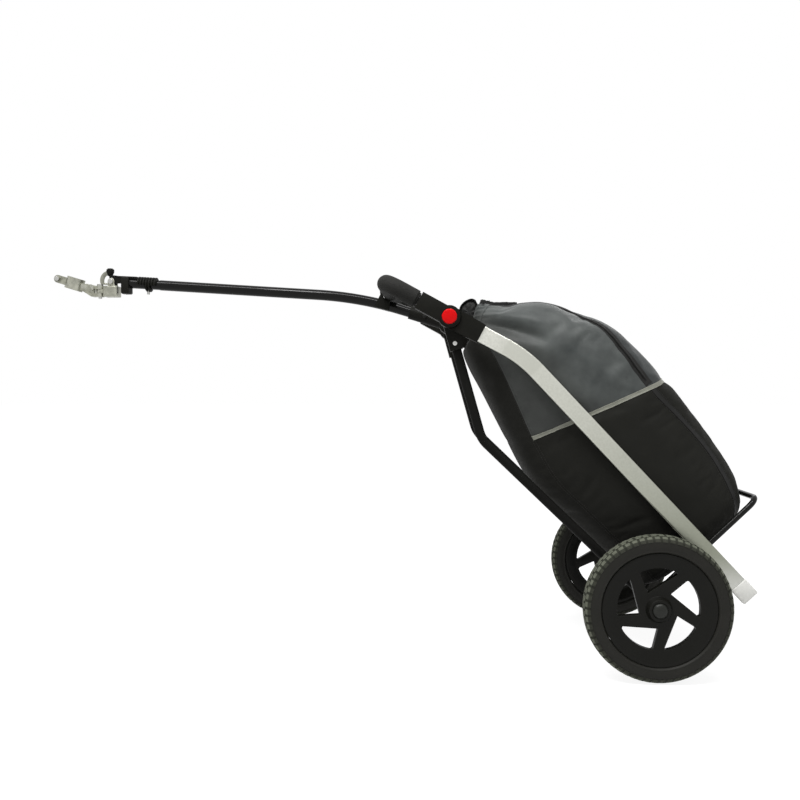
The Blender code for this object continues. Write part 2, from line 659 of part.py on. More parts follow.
def make_drawbar():
    """Drawbar tube with its ribbed collar, and the sleeve at the handle's cross tube."""
    path, angle = drawbar_path()
    bar = tube("drawbar_tube", path, DRAWBAR_RADIUS, 6)
    finish_part(bar, BLACK_PAINT)
    heading = (path[1] - path[0]).normalized()
    start = path[0] + heading * ((COLLAR_START - path[0].x) / heading.x)
    pitch = COLLAR_LENGTH / COLLAR_RIBS
    profile = []
    for index in range(COLLAR_RIBS):
        top = COLLAR_LENGTH - index * pitch
        profile += [(COLLAR_RADIUS, top), (COLLAR_RADIUS + COLLAR_RIB_HEIGHT, top - 0.3 * pitch),
                    (COLLAR_RADIUS + COLLAR_RIB_HEIGHT, top - 0.7 * pitch)]
    profile += [(COLLAR_RADIUS, 0), (DRAWBAR_RADIUS + GAP, 0), (DRAWBAR_RADIUS + GAP, COLLAR_LENGTH)]
    collar = turned("ribbed_collar", profile, 28, True)
    collar.rotation_mode = "QUATERNION"
    collar.rotation_quaternion = Vector((0, 0, 1)).rotation_difference(heading)
    collar.location = start
    middle = start + heading * (COLLAR_LENGTH * 0.55)
    down = Vector((heading.z, 0, -heading.x))
    for index, (low, high) in enumerate(((-0.2, 0.42), (0.68, 1.2))):
        relief = box(f"collar_relief_{index}", (0.003, -0.03, low * COLLAR_LENGTH),
                     (0.03, 0.03, high * COLLAR_LENGTH))
        relief.parent = collar
        cut(collar, relief)
    hole = cylinder("collar_screw_hole", middle + down * 0.008, middle + down * 0.03,
                    COLLAR_SCREW_RADIUS + GAP, 16)
    cut(collar, hole)
    finish_part(collar, BLACK_PLASTIC, smooth=False)
    seat = DRAWBAR_RADIUS + GAP
    screw = cylinder("collar_screw", middle + down * seat, middle + down * (seat + 0.0115),
                     COLLAR_SCREW_RADIUS, 16)
    finish_part(screw, STEEL)

    outer = DRAWBAR_RADIUS + GAP + SLEEVE_WALL
    pivot = (PIVOT_X, PIVOT_Z)
    near_end = along(pivot, angle, -SLEEVE_LENGTH)
    sleeve = cylinder("drawbar_sleeve", (near_end[0], 0, near_end[1]), PIVOT, outer, 28)
    ring = cylinder("sleeve_ring", PIVOT - Vector((0, SLEEVE_RING_HALF_WIDTH, 0)),
                    PIVOT + Vector((0, SLEEVE_RING_HALF_WIDTH, 0)), SLEEVE_RING_RADIUS, 32)
    join(sleeve, ring)
    bore_end = along(pivot, angle, -DRAWBAR_END_TO_PIVOT + GAP)
    bore_start = along(pivot, angle, -SLEEVE_LENGTH - 0.01)
    cut(sleeve, cylinder("sleeve_bore", (bore_start[0], 0, bore_start[1]),
                         (bore_end[0], 0, bore_end[1]), DRAWBAR_RADIUS + GAP, 24))
    cut(sleeve, cylinder("sleeve_pivot_bore", PIVOT - Vector((0, 0.03, 0)),
                         PIVOT + Vector((0, 0.03, 0)), PIVOT_TUBE_RADIUS + GAP, 28))
    bolt_place = along(pivot, angle, -SLEEVE_LENGTH * 0.62)
    cut(sleeve, cylinder("sleeve_bolt_hole", (bolt_place[0], -0.02, bolt_place[1]),
                         (bolt_place[0], -DRAWBAR_RADIUS, bolt_place[1]),
                         SLEEVE_BOLT_RADIUS + GAP, 16))
    finish_part(sleeve, BLACK_PLASTIC)
    bolt = turned("sleeve_bolt",
                  [(0, outer + 0.003), (0.0050, outer + 0.0022), (0.0050, outer + 0.0006),
                   (SLEEVE_BOLT_RADIUS, outer + 0.0006), (SLEEVE_BOLT_RADIUS, DRAWBAR_RADIUS + GAP),
                   (0, DRAWBAR_RADIUS + GAP)], 16, False)
    finish_part(across(bolt, bolt_place[0], bolt_place[1], 0, -1), STEEL, smooth=False)


def bow_point(distance, offset=0.0):
    """Side-view point on the handle, at a distance from the pivot."""
    return along((PIVOT_X, PIVOT_Z), BOW_ANGLE, distance, offset)


def make_handle():
    """Handle bow with its grip, the two arms that hold it and the cross tube."""
    inner_end = bow_point(ARM_START - ARM_TUBE_DEPTH)
    corner = bow_point(BOW_LENGTH)
    corners = [(inner_end[0], -BOW_HALF_WIDTH, inner_end[1]),
               (corner[0], -BOW_HALF_WIDTH, corner[1]), (corner[0], BOW_HALF_WIDTH, corner[1]),
               (inner_end[0], BOW_HALF_WIDTH, inner_end[1])]
    path = rounded_path(corners, BOW_CORNER, 6)
    finish_part(tube("handle_bow", path, BOW_RADIUS, 5), BLACK_PAINT)
    grip_end = bow_point(GRIP_END)
    grip_corners = [(grip_end[0], corners[0][1], grip_end[1])] + corners[1:3]
    grip_corners.append((grip_end[0], corners[3][1], grip_end[1]))
    grip = to_mesh(tube("grip", rounded_path(grip_corners, BOW_CORNER, 6), GRIP_RADIUS, 6))
    cut(grip, to_mesh(tube("grip_bore", path, BOW_RADIUS + GAP, 5)))
    finish_part(grip, GRIP_RUBBER)

    for side in (-1, 1):
        name = side_name(side)
        y0, y1 = sorted((side * ARM_INNER, side * HUB_OUTER))
        below = BOW_ANGLE + math.asin(ARM_BOTTOM / HUB_RADIUS)
        above = BOW_ANGLE + 2 * math.pi - math.asin(ARM_TOP / HUB_RADIUS)
        outline = arc((PIVOT_X, PIVOT_Z), HUB_RADIUS, below, above, 24)
        outline += [bow_point(ARM_START, -ARM_TOP), bow_point(ARM_START, ARM_BOTTOM)]
        arm = bevel(to_mesh(plate(f"handle_arm_{name}", outline, y0, y1)), 0.003, 2)
        collar_radius = BUTTON_RADIUS + GAP + BUTTON_COLLAR_WIDTH
        rim = cylinder(f"button_rim_{name}", (PIVOT_X, side * (HUB_OUTER - 0.002), PIVOT_Z),
                       (PIVOT_X, side * (HUB_OUTER + BUTTON_COLLAR_PROUD), PIVOT_Z),
                       collar_radius, 32)
        join(arm, rim)
        room = cylinder(f"arm_room_{name}", (PIVOT_X, side * (ARM_INNER - 0.01), PIVOT_Z),
                        (PIVOT_X, side * (HUB_SPLIT + GAP), PIVOT_Z), HUB_RADIUS + 0.0008, 36)
        cut(arm, room)
        floor = HUB_SPLIT + GAP + BUTTON_FLOOR
        pocket = cylinder(f"button_pocket_{name}", (PIVOT_X, side * floor, PIVOT_Z),
                          (PIVOT_X, side * (HUB_OUTER + 0.01), PIVOT_Z), BUTTON_RADIUS + GAP, 32)
        cut(arm, pocket)
        seat = cylinder(f"arm_seat_{name}", (PIVOT_X, side * (ARM_INNER - 0.01), PIVOT_Z),
                        (PIVOT_X, side * (floor + 0.002), PIVOT_Z), PIVOT_TUBE_RADIUS + GAP, 28)
        cut(arm, seat)
        deep = bow_point(ARM_START - ARM_TUBE_DEPTH - GAP)
        out = bow_point(ARM_START + 0.01)
        socket = cylinder(f"bow_socket_{name}", (deep[0], side * BOW_HALF_WIDTH, deep[1]),
                          (out[0], side * BOW_HALF_WIDTH, out[1]), BOW_RADIUS + GAP, 24)
        cut(arm, socket)
        finish_part(arm, BLACK_PLASTIC)

        face = HUB_OUTER + BUTTON_PROUD
        back = face - BUTTON_THICKNESS
        button = turned(f"release_button_{name}",
                        [(0, face), (BUTTON_RADIUS * 0.6, face - 0.0004),
                         (BUTTON_RADIUS - 0.0016, face - 0.0010),
                         (BUTTON_RADIUS, face - 0.0026), (BUTTON_RADIUS, back), (0, back)], 32, False)
        finish_part(across(button, PIVOT_X, PIVOT_Z, 0, side), RED_PLASTIC, smooth=False)
        tube_end = floor - GAP
        spring = turned(f"button_spring_{name}",
                        [(0.0112, back - GAP), (0.0112, tube_end + GAP),
                         (0.0094, tube_end + GAP), (0.0094, back - GAP)], 20, True)
        finish_part(across(spring, PIVOT_X, PIVOT_Z, 0, side), STEEL, smooth=False)
    end = HUB_SPLIT + GAP + BUTTON_FLOOR - GAP
    pivot_tube = turned("pivot_tube",
                        [(PIVOT_TUBE_RADIUS, end), (PIVOT_TUBE_RADIUS, -end),
                         (PIVOT_TUBE_RADIUS - PIVOT_TUBE_WALL, -end),
                         (PIVOT_TUBE_RADIUS - PIVOT_TUBE_WALL, end)], 28, True)
    finish_part(across(pivot_tube, PIVOT_X, PIVOT_Z, 0, -1), BLACK_PAINT, smooth=False)


def make_tie_hook():
    """Moulded hook, clipped round the drawbar and open round the crossbar's front."""
    path, angle = drawbar_path()
    line = []
    for x in (TIE_X0, TIE_X1):
        for first, second in zip(path, path[1:]):
            if first.x <= x <= second.x:
                share = (x - first.x) / (second.x - first.x)
                line.append(first.lerp(second, share))
    bar_angle = math.atan2(line[1].z - line[0].z, line[1].x - line[0].x)
    drop = DRAWBAR_RADIUS + TIE_WALL
    crossbar = bow_point(BOW_LENGTH)
    outer = GRIP_RADIUS + GAP + TIE_WALL
    low_left = along((line[0].x, line[0].z), bar_angle, 0, -drop)
    low_right = along((line[1].x, line[1].z), bar_angle, 0, -drop)
    high_right = along((line[1].x, line[1].z), bar_angle, 0, 0.004)
    outline = [low_left, low_right, high_right, (crossbar[0], crossbar[1] - GRIP_RADIUS)]
    outline += arc(crossbar, GRIP_RADIUS + GAP + 0.0005, math.radians(268), math.radians(125), 12)[1:]
    outline += arc(crossbar, outer, math.radians(125), math.radians(195), 8)
    hook = to_mesh(plate("tie_hook", outline, -TIE_HALF_WIDTH, TIE_HALF_WIDTH))
    bar = to_mesh(tube("tie_bore", path, DRAWBAR_RADIUS + GAP, 6))
    cut(hook, bar)
    finish_part(hook, BLACK_PLASTIC)


def bar_line():
    """Centre line of a side bar in the side view: top part, bend and main part."""
    pivot = (PIVOT_X, PIVOT_Z)
    start = along(pivot, BAR_ANGLE_TOP, BAR_TOP_START)
    corner = along(pivot, BAR_ANGLE_TOP, BAR_CORNER)
    end = along(corner, BAR_ANGLE_MAIN, BAR_MAIN_LENGTH)
    return start, corner, end


def strip_outline(start, corner, end, half_width, radius, steps):
    """Outline of a flat bar with one bend, in the side view."""
    first = math.atan2(corner[1] - start[1], corner[0] - start[0])
    second = math.atan2(end[1] - corner[1], end[0] - corner[0])
    reach = radius * math.tan(abs(second - first) / 2)
    begin = along(corner, first, -reach)
    centre = along(begin, first, 0, -radius)
    upper, lower = [along(start, first, 0, half_width)], [along(start, first, 0, -half_width)]
    for i in range(steps + 1):
        angle = first + (second - first) * i / steps + math.pi / 2
        upper.append(along(centre, angle, radius + half_width))
        lower.append(along(centre, angle, radius - half_width))
    upper.append(along(end, second, 0, half_width))
    lower.append(along(end, second, 0, -half_width))
    return upper + lower[::-1]


def make_side_bars():
    start, corner, end = bar_line()
    bar_end = along(end, BAR_ANGLE_MAIN, -FOOT_LENGTH - GAP)
    half = BAR_WIDTH / 2
    pivot = (PIVOT_X, PIVOT_Z)
    for side in (-1, 1):
        name = side_name(side)
        inner = BAR_HALF_GAUGE - BAR_THICKNESS / 2
        outer = BAR_HALF_GAUGE + BAR_THICKNESS / 2
        outline = strip_outline(start, corner, bar_end, half, BAR_BEND_RADIUS, 8)
        bar = plate(f"side_bar_{name}", outline, *sorted((side * inner, side * outer)))
        finish_part(bevel(to_mesh(bar), 0.003, 2), ALUMINIUM)

        grow = half + FOOT_WALL
        foot_outline = [along(bar_end, BAR_ANGLE_MAIN, GAP, grow),
                        along(bar_end, BAR_ANGLE_MAIN, GAP, -grow),
                        along(end, BAR_ANGLE_MAIN, 0, -grow), along(end, BAR_ANGLE_MAIN, 0, grow)]
        foot = plate(f"foot_cap_{name}", foot_outline,
                     *sorted((side * (inner - FOOT_WALL), side * (outer + FOOT_WALL))))
        finish_part(bevel(to_mesh(foot), 0.0025, 2), GREY_CAP)

        make_holder(side, start, pivot)
        make_lower_tube(side)


def make_holder(side, start, pivot):
    """Bar holder: disc behind the handle arm, sleeve round the bar and tab for the tube."""
    name = side_name(side)
    half = BAR_WIDTH / 2 + GAP + HOLDER_WALL
    y_in = BAR_HALF_GAUGE - BAR_THICKNESS / 2 - GAP - HOLDER_SIDE_WALL
    y_out = BAR_HALF_GAUGE + BAR_THICKNESS / 2 + GAP + HOLDER_SIDE_WALL
    clear = HUB_RADIUS + 0.0012
    hub_half = BAR_WIDTH / 2 + GAP + HOLDER_HUB_WALL
    body_outline = [along(pivot, BAR_ANGLE_TOP, 0, hub_half),
                    along(pivot, BAR_ANGLE_TOP, 0, -hub_half),
                    along(pivot, BAR_ANGLE_TOP, HOLDER_END, -half),
                    along(pivot, BAR_ANGLE_TOP, HOLDER_END, half)]
    holder = to_mesh(plate(f"bar_holder_{name}", body_outline,
                           *sorted((side * y_in, side * y_out))))
    disc = cylinder(f"holder_disc_{name}", (PIVOT_X, side * HUB_INNER, PIVOT_Z),
                    (PIVOT_X, side * (HUB_SPLIT - 0.0002), PIVOT_Z), HUB_RADIUS, 36)
    tab_in = TUBE_HALF_GAUGE - TUBE_RADIUS - GAP - TAB_WALL
    tab_out = y_in + 0.0008
    tube_angle = math.atan2(TUBE_CORNER[1] - TUBE_TOP[1], TUBE_CORNER[0] - TUBE_TOP[0])
    low = along(TUBE_TOP, tube_angle, (TUBE_TOP[1] - TAB_BOTTOM))
    tab_outline = [(PIVOT_X - TAB_HALF_WIDTH, PIVOT_Z - 0.012),
                   along(low, tube_angle, 0, -TAB_HALF_WIDTH),
                   along(low, tube_angle, 0, TAB_HALF_WIDTH),
                   (PIVOT_X + 1.9 * TAB_HALF_WIDTH, PIVOT_Z - 0.020)]
    tab = to_mesh(plate(f"holder_tab_{name}", tab_outline,
                        *sorted((side * tab_in, side * tab_out))))
    outer_room = cylinder(f"holder_room_{name}", (PIVOT_X, side * (HUB_SPLIT - 0.0002), PIVOT_Z),
                          (PIVOT_X, side * (HUB_OUTER + 0.01), PIVOT_Z), clear, 36)
    cut(holder, outer_room)
    join(holder, disc)
    join(holder, tab)
    cut(holder, cylinder(f"holder_pivot_bore_{name}", (PIVOT_X, side * (tab_in - 0.01), PIVOT_Z),
                         (PIVOT_X, side * (HUB_OUTER + 0.01), PIVOT_Z), PIVOT_TUBE_RADIUS + GAP, 28))
    sleeve_inner = BAR_HALF_GAUGE - BAR_THICKNESS / 2 - GAP
    sleeve_outer = BAR_HALF_GAUGE + BAR_THICKNESS / 2 + GAP
    bore_outline = [along(pivot, BAR_ANGLE_TOP, BAR_TOP_START - GAP, half - HOLDER_WALL),
                    along(pivot, BAR_ANGLE_TOP, BAR_TOP_START - GAP, -half + HOLDER_WALL),
                    along(pivot, BAR_ANGLE_TOP, HOLDER_END + 0.01, -half + HOLDER_WALL),
                    along(pivot, BAR_ANGLE_TOP, HOLDER_END + 0.01, half - HOLDER_WALL)]
    bore = to_mesh(plate(f"holder_bore_{name}", bore_outline,
                         *sorted((side * sleeve_inner, side * sleeve_outer))))
    cut(holder, bore)
    top = along(TUBE_TOP, tube_angle, -GAP)
    deep = along(TUBE_TOP, tube_angle, 0.05)
    cut(holder, cylinder(f"holder_tube_bore_{name}", (top[0], side * TUBE_HALF_GAUGE, top[1]),
                         (deep[0], side * TUBE_HALF_GAUGE, deep[1]), TUBE_RADIUS + GAP, 24))
    screw_place = along(TUBE_TOP, tube_angle, 0.011)
    cut(holder, cylinder(f"tab_screw_hole_{name}", (screw_place[0], side * TUBE_HALF_GAUGE,
                                                    screw_place[1]),
                         (screw_place[0], side * (tab_out + 0.01), screw_place[1]),
                         TUBE_SCREW_RADIUS + GAP, 16))
    finish_part(holder, BLACK_PLASTIC)
    seat = TUBE_HALF_GAUGE + TUBE_RADIUS + GAP
    screw = turned(f"tube_screw_{name}",
                   [(0, tab_out + 0.0022), (0.0046, tab_out + 0.0014), (0.0046, tab_out + GAP),
                    (TUBE_SCREW_RADIUS, tab_out + GAP), (TUBE_SCREW_RADIUS, seat), (0, seat)],
                   16, False)
    finish_part(across(screw, screw_place[0], screw_place[1], 0, side), STEEL, smooth=False)


def make_lower_tube(side):
    name = side_name(side)
    y = side * TUBE_HALF_GAUGE
    heading = math.atan2(WHEEL_Z - TUBE_CORNER[1], WHEEL_X - TUBE_CORNER[0])
    end = along((WHEEL_X, WHEEL_Z), heading, -AXLE_TUBE_RADIUS * 0.5)
    path = rounded_path([(TUBE_TOP[0], y, TUBE_TOP[1]), (TUBE_CORNER[0], y, TUBE_CORNER[1]),
                         (end[0], y, end[1])], TUBE_BEND_RADIUS, 5)
    item = to_mesh(tube(f"lower_tube_{name}", path, TUBE_RADIUS, 4))
    cut(item, cylinder(f"tube_axle_cut_{name}", (WHEEL_X, y - 0.03, WHEEL_Z),
                       (WHEEL_X, y + 0.03, WHEEL_Z), AXLE_TUBE_RADIUS + GAP, 28))
    finish_part(item, BLACK_PAINT)


def make_base():
    """Axle tube and rod, base loop under the bag, its saddles and the hanging rod."""
    end = WHEEL_HALF_TRACK - HUB_HALF_LENGTH - RUNNING_GAP
    axle_tube = turned("axle_tube",
                       [(AXLE_TUBE_RADIUS, end), (AXLE_TUBE_RADIUS, -end),
                        (AXLE_RADIUS + GAP, -end), (AXLE_RADIUS + GAP, end)], 28, True)
    finish_part(across(axle_tube, WHEEL_X, WHEEL_Z, 0, -1), BLACK_PAINT, smooth=False)
    rod_end = WHEEL_HALF_TRACK + HUB_HALF_LENGTH - CAP_POCKET - RUNNING_GAP
    rod = cylinder("axle_rod", (WHEEL_X, -rod_end, WHEEL_Z), (WHEEL_X, rod_end, WHEEL_Z),
                   AXLE_RADIUS, 24)
    finish_part(rod, STEEL)

    heading = math.atan2(LOOP_CORNER_Z - WHEEL_Z, LOOP_CORNER_X - WHEEL_X)
    begin = along((WHEEL_X, WHEEL_Z), heading, AXLE_TUBE_RADIUS * 0.6)
    corners = [(begin[0], -LOOP_HALF_WIDTH, begin[1]),
               (LOOP_CORNER_X, -LOOP_HALF_WIDTH, LOOP_CORNER_Z),
               (LOOP_CORNER_X, LOOP_HALF_WIDTH, LOOP_CORNER_Z),
               (begin[0], LOOP_HALF_WIDTH, begin[1])]
    loop = to_mesh(tube("base_loop", rounded_path(corners, LOOP_BEND_RADIUS, 5), LOOP_RADIUS, 3))
    reach = LOOP_HALF_WIDTH + LOOP_BEND_RADIUS
    cut(loop, cylinder("loop_axle_cut", (WHEEL_X, -reach, WHEEL_Z), (WHEEL_X, reach, WHEEL_Z),
                       AXLE_TUBE_RADIUS + GAP, 28))
    finish_part(loop, BLACK_PAINT)

    start, corner, bar_end = bar_line()
    share = saddle_distance(corner, heading)
    place = along((WHEEL_X, WHEEL_Z), heading, share)
    for side in (-1, 1):
        inner = LOOP_HALF_WIDTH + LOOP_RADIUS * 0.4
        outer = BAR_HALF_GAUGE - BAR_THICKNESS / 2 - GAP
        saddle = cylinder(f"loop_saddle_{side_name(side)}",
                            (place[0], side * inner, place[1]),
                            (place[0], side * outer, place[1]), SADDLE_RADIUS, 20)
        far = along((WHEEL_X, WHEEL_Z), heading, share + 0.05)
        near = along((WHEEL_X, WHEEL_Z), heading, share - 0.05)
        cut(saddle, cylinder(f"saddle_seat_{side_name(side)}",
                               (near[0], side * LOOP_HALF_WIDTH, near[1]),
                               (far[0], side * LOOP_HALF_WIDTH, far[1]), LOOP_RADIUS + GAP, 20))
        finish_part(saddle, BLACK_PLASTIC)
    rod_half = BAR_HALF_GAUGE - BAR_THICKNESS / 2 - GAP - HOLDER_SIDE_WALL - GAP
    hang = cylinder("hang_rod", (HANG_ROD_X, -rod_half, HANG_ROD_Z),
                    (HANG_ROD_X, rod_half, HANG_ROD_Z), HANG_ROD_RADIUS, 16)
    finish_part(hang, BLACK_PAINT)


def saddle_distance(corner, heading):
    """Distance from the axle, along the base loop's leg, to the side bar's centre line."""
    leg = (math.cos(heading), math.sin(heading))
    bar = (math.cos(BAR_ANGLE_MAIN), math.sin(BAR_ANGLE_MAIN))
    dx, dz = corner[0] - WHEEL_X, corner[1] - WHEEL_Z
    return (dx * bar[1] - dz * bar[0]) / (leg[0] * bar[1] - leg[1] * bar[0])


def polar(radius, angle):
    return (radius * math.cos(angle), radius * math.sin(angle))


def window_outline():
    """One opening between two spokes: near-radial side, rim arc and long swept side."""
    apex = polar(WINDOW_APEX_RADIUS, WINDOW_APEX)
    inset = WINDOW_CORNER / WINDOW_RADIUS
    arc_points = arc((0, 0), WINDOW_RADIUS, WINDOW_SHORT_SIDE - inset,
                     WINDOW_LONG_SIDE + inset, 8)
    short_in = polar(WINDOW_RADIUS - WINDOW_CORNER, WINDOW_SHORT_SIDE)
    long_in = polar(WINDOW_RADIUS - WINDOW_CORNER, WINDOW_LONG_SIDE)
    return [apex, short_in] + arc_points + [long_in]


def make_wheel(side):
    name = side_name(side)
    y = side * WHEEL_HALF_TRACK
    half = TYRE_HALF_WIDTH
    crown = WHEEL_RADIUS
    seat = RIM_RADIUS + GAP
    tyre_profile = [(crown, half * 0.36), (crown, -half * 0.36), (crown - 0.0035, -half * 0.72),
                    (crown - 0.011, -half * 0.94), (crown - 0.020, -half), (seat + 0.005, -half * 0.92),
                    (seat, -RIM_HALF_WIDTH), (seat, RIM_HALF_WIDTH), (seat + 0.005, half * 0.92),
                    (crown - 0.020, half), (crown - 0.011, half * 0.94),
                    (crown - 0.0035, half * 0.72)]
    tyre = turned(f"tyre_{name}", tyre_profile, 48, True)
    finish_part(across(tyre, WHEEL_X, WHEEL_Z, y, side), TYRE_RUBBER, smooth=False)

    bore = AXLE_RADIUS + RUNNING_GAP + BEARING_WALL + GAP
    pocket = HUB_HALF_LENGTH - CAP_POCKET
    cap_room = CAP_RADIUS + GAP
    rim_profile = [(RIM_RADIUS, RIM_HALF_WIDTH), (RIM_RADIUS, -RIM_HALF_WIDTH),
                   (RIM_RADIUS - 0.007, -RIM_HALF_WIDTH), (WEB_RADIUS, WEB_INNER),
                   (HUB_BOSS_RADIUS, WEB_INNER), (HUB_BOSS_RADIUS - 0.002, -HUB_HALF_LENGTH),
                   (bore, -HUB_HALF_LENGTH), (bore, pocket), (cap_room, pocket),
                   (cap_room, HUB_HALF_LENGTH), (HUB_BOSS_RADIUS - 0.003, HUB_HALF_LENGTH),
                   (HUB_BOSS_RADIUS + 0.002, WEB_OUTER), (WEB_RADIUS, WEB_OUTER),
                   (RIM_RADIUS - 0.007, RIM_HALF_WIDTH)]
    rim = turned(f"rim_{name}", rim_profile, 48, True)
    across(rim, WHEEL_X, WHEEL_Z, y, side)
    for index in range(SPOKES):
        turn_by = -index * 2 * math.pi / SPOKES
        points = [turn(p, turn_by) for p in window_outline()]
        if side > 0:
            points = [turn((-x, z), FAR_WHEEL_TURN) for x, z in points]
        placed = [(WHEEL_X + x, WHEEL_Z + z) for x, z in points]
        window = to_mesh(plate(f"window_{name}_{index}", placed,
                               *sorted((y - 0.018, y + 0.018))))
        cut(rim, window)
    finish_part(rim, BLACK_PLASTIC, smooth=False)

    bush = turned(f"wheel_bearing_{name}",
                  [(bore - GAP, pocket), (bore - GAP, -HUB_HALF_LENGTH),
                   (AXLE_RADIUS + RUNNING_GAP, -HUB_HALF_LENGTH),
                   (AXLE_RADIUS + RUNNING_GAP, pocket)], 24, True)
    finish_part(across(bush, WHEEL_X, WHEEL_Z, y, side), STEEL, smooth=False)
    base = HUB_HALF_LENGTH - CAP_POCKET + CAP_TRAVEL + RUNNING_GAP
    cap = turned(f"wheel_release_{name}",
                 [(0, base + CAP_HEIGHT), (CAP_RADIUS * 0.45, base + CAP_HEIGHT - 0.0005),
                  (CAP_RADIUS * 0.8, base + CAP_HEIGHT - 0.0024),
                  (CAP_RADIUS, base + CAP_HEIGHT - 0.0060), (CAP_RADIUS, base), (0, base)], 28, False)
    finish_part(across(cap, WHEEL_X, WHEEL_Z, y, side), BLACK_PLASTIC, smooth=False)


# Bag sections from the neck to the bottom: back point and front point, each as distance
# along the side bars from the pivot and offset above their line through it, and half width.
BAG_SECTIONS = [
    ((0.060, 0.016), (0.0253, 0.0653), 0.050),
    ((0.066, -0.008), (0.056, 0.118), 0.105),
    ((0.105, -0.027), (0.100, 0.166), BAG_HALF_WIDTH - 0.018),
    ((0.165, -0.043), (0.182, 0.2155), BAG_HALF_WIDTH),
    ((0.225, -0.059), (0.255, 0.2430), BAG_HALF_WIDTH),
    ((0.286, -0.0765), (0.397, 0.2475), BAG_HALF_WIDTH),
    ((0.385, -0.1000), (0.475, 0.2410), BAG_HALF_WIDTH),
    ((0.480, -0.0955), (0.562, 0.2305), BAG_HALF_WIDTH),
    ((0.570, -0.0915), (0.630, 0.2180), BAG_HALF_WIDTH),
    ((0.640, -0.0880), (0.676, 0.2050), BAG_HALF_WIDTH),
    ((0.6894, -0.0896), (0.700, 0.1880), BAG_HALF_WIDTH - 0.006),
    ((0.6990, -0.0640), (0.7075, 0.1650), BAG_HALF_WIDTH - 0.020),
]
STRIPE_SECTION = 5


def bag_place(point):
    """Side-view place of a point given along the bars and above their line."""
    return along((PIVOT_X, PIVOT_Z), BAR_ANGLE_MAIN, point[0], point[1])


def bag_ring(section, shift):
    """Points of one section, a rounded rectangle between its back and front points."""
    back, front, half_width = section
    back = bag_place((back[0] + shift, back[1]))
    front = bag_place((front[0] + shift, front[1]))
    middle = ((back[0] + front[0]) / 2, (back[1] + front[1]) / 2)
    half = ((front[0] - back[0]) / 2, (front[1] - back[1]) / 2)
    ring = []
    for index in range(BAG_SECTION_POINTS):
        angle = 2 * math.pi * (index + 0.5) / BAG_SECTION_POINTS
        power = 2 / BAG_SQUARENESS
        u = math.copysign(abs(math.sin(angle)) ** power, math.sin(angle))
        v = math.copysign(abs(math.cos(angle)) ** power, math.cos(angle))
        ring.append((middle[0] + half[0] * u, half_width * v, middle[1] + half[1] * u))
    return ring


def loft(name, rings, material):
    """Closed solid through rings of equal point counts, with flat ends."""
    mesh = bpy.data.meshes.new(name)
    work = bmesh.new()
    rows = [[work.verts.new(p) for p in ring] for ring in rings]
    for lower, upper in zip(rows, rows[1:]):
        count = len(lower)
        for i in range(count):
            work.faces.new((lower[i], lower[(i + 1) % count], upper[(i + 1) % count], upper[i]))
    work.faces.new(rows[0][::-1])
    work.faces.new(rows[-1])
    bmesh.ops.recalc_face_normals(work, faces=work.faces)
    work.to_mesh(mesh)
    work.free()
    item = bpy.data.objects.new(name, mesh)
    PARTS.objects.link(item)
    return finish_part(item, material)


def make_bag():
    """Bag in two fabrics, its strap and the webbing loop that hangs it on the rod."""
    upper = [bag_ring(s, 0) for s in BAG_SECTIONS[:STRIPE_SECTION]]
    upper.append(bag_ring(BAG_SECTIONS[STRIPE_SECTION], -GAP))
    lower = [bag_ring(BAG_SECTIONS[STRIPE_SECTION], GAP)]
    lower += [bag_ring(s, 0) for s in BAG_SECTIONS[STRIPE_SECTION + 1:]]
    loft("bag_upper", upper, GREY_FABRIC)
    loft("bag_lower", lower, BLACK_FABRIC)

    crown = [bag_place(section[1]) for section in BAG_SECTIONS[:3]]
    under = []
    for x in STRAP_SPAN:
        first, last = crown[:2] if x < crown[1][0] else crown[1:]
        share = (x - first[0]) / (last[0] - first[0])
        under.append((x, first[1] + share * (last[1] - first[1]) + STRAP_LIFT))
    over = list(zip(STRAP_SPAN, STRAP_TOP))
    strap = to_mesh(plate("bag_strap", under + over[::-1], -STRAP_HALF_WIDTH, STRAP_HALF_WIDTH))
    finish_part(strap, BLACK_FABRIC)

    rod = (HANG_ROD_X, HANG_ROD_Z)
    inner_radius = HANG_ROD_RADIUS + GAP
    outer_radius = inner_radius + WEBBING
    outline = hull_of_circles(rod, outer_radius, HANG_LOOP_TOP, HANG_LOOP_TOP_RADIUS, 14)
    hole = hull_of_circles(rod, inner_radius, HANG_LOOP_TOP, HANG_LOOP_TOP_RADIUS - WEBBING, 14)
    loop = to_mesh(plate("bag_hang_loop", outline, -HANG_LOOP_HALF_WIDTH, HANG_LOOP_HALF_WIDTH))
    cut(loop, to_mesh(plate("hang_loop_hole", hole, -2 * HANG_LOOP_HALF_WIDTH,
                            2 * HANG_LOOP_HALF_WIDTH)))
    finish_part(loop, BLACK_FABRIC)


make_clamp()
make_swivel()
make_coupler()
make_drawbar()
make_handle()
make_tie_hook()
make_side_bars()
make_base()
for trailer_side in (-1, 1):
    make_wheel(trailer_side)
make_bag()
bpy.context.view_layer.update()
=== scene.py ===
import json
import math

import bmesh
import bpy
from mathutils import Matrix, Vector, noise
from mathutils.bvhtree import BVHTree

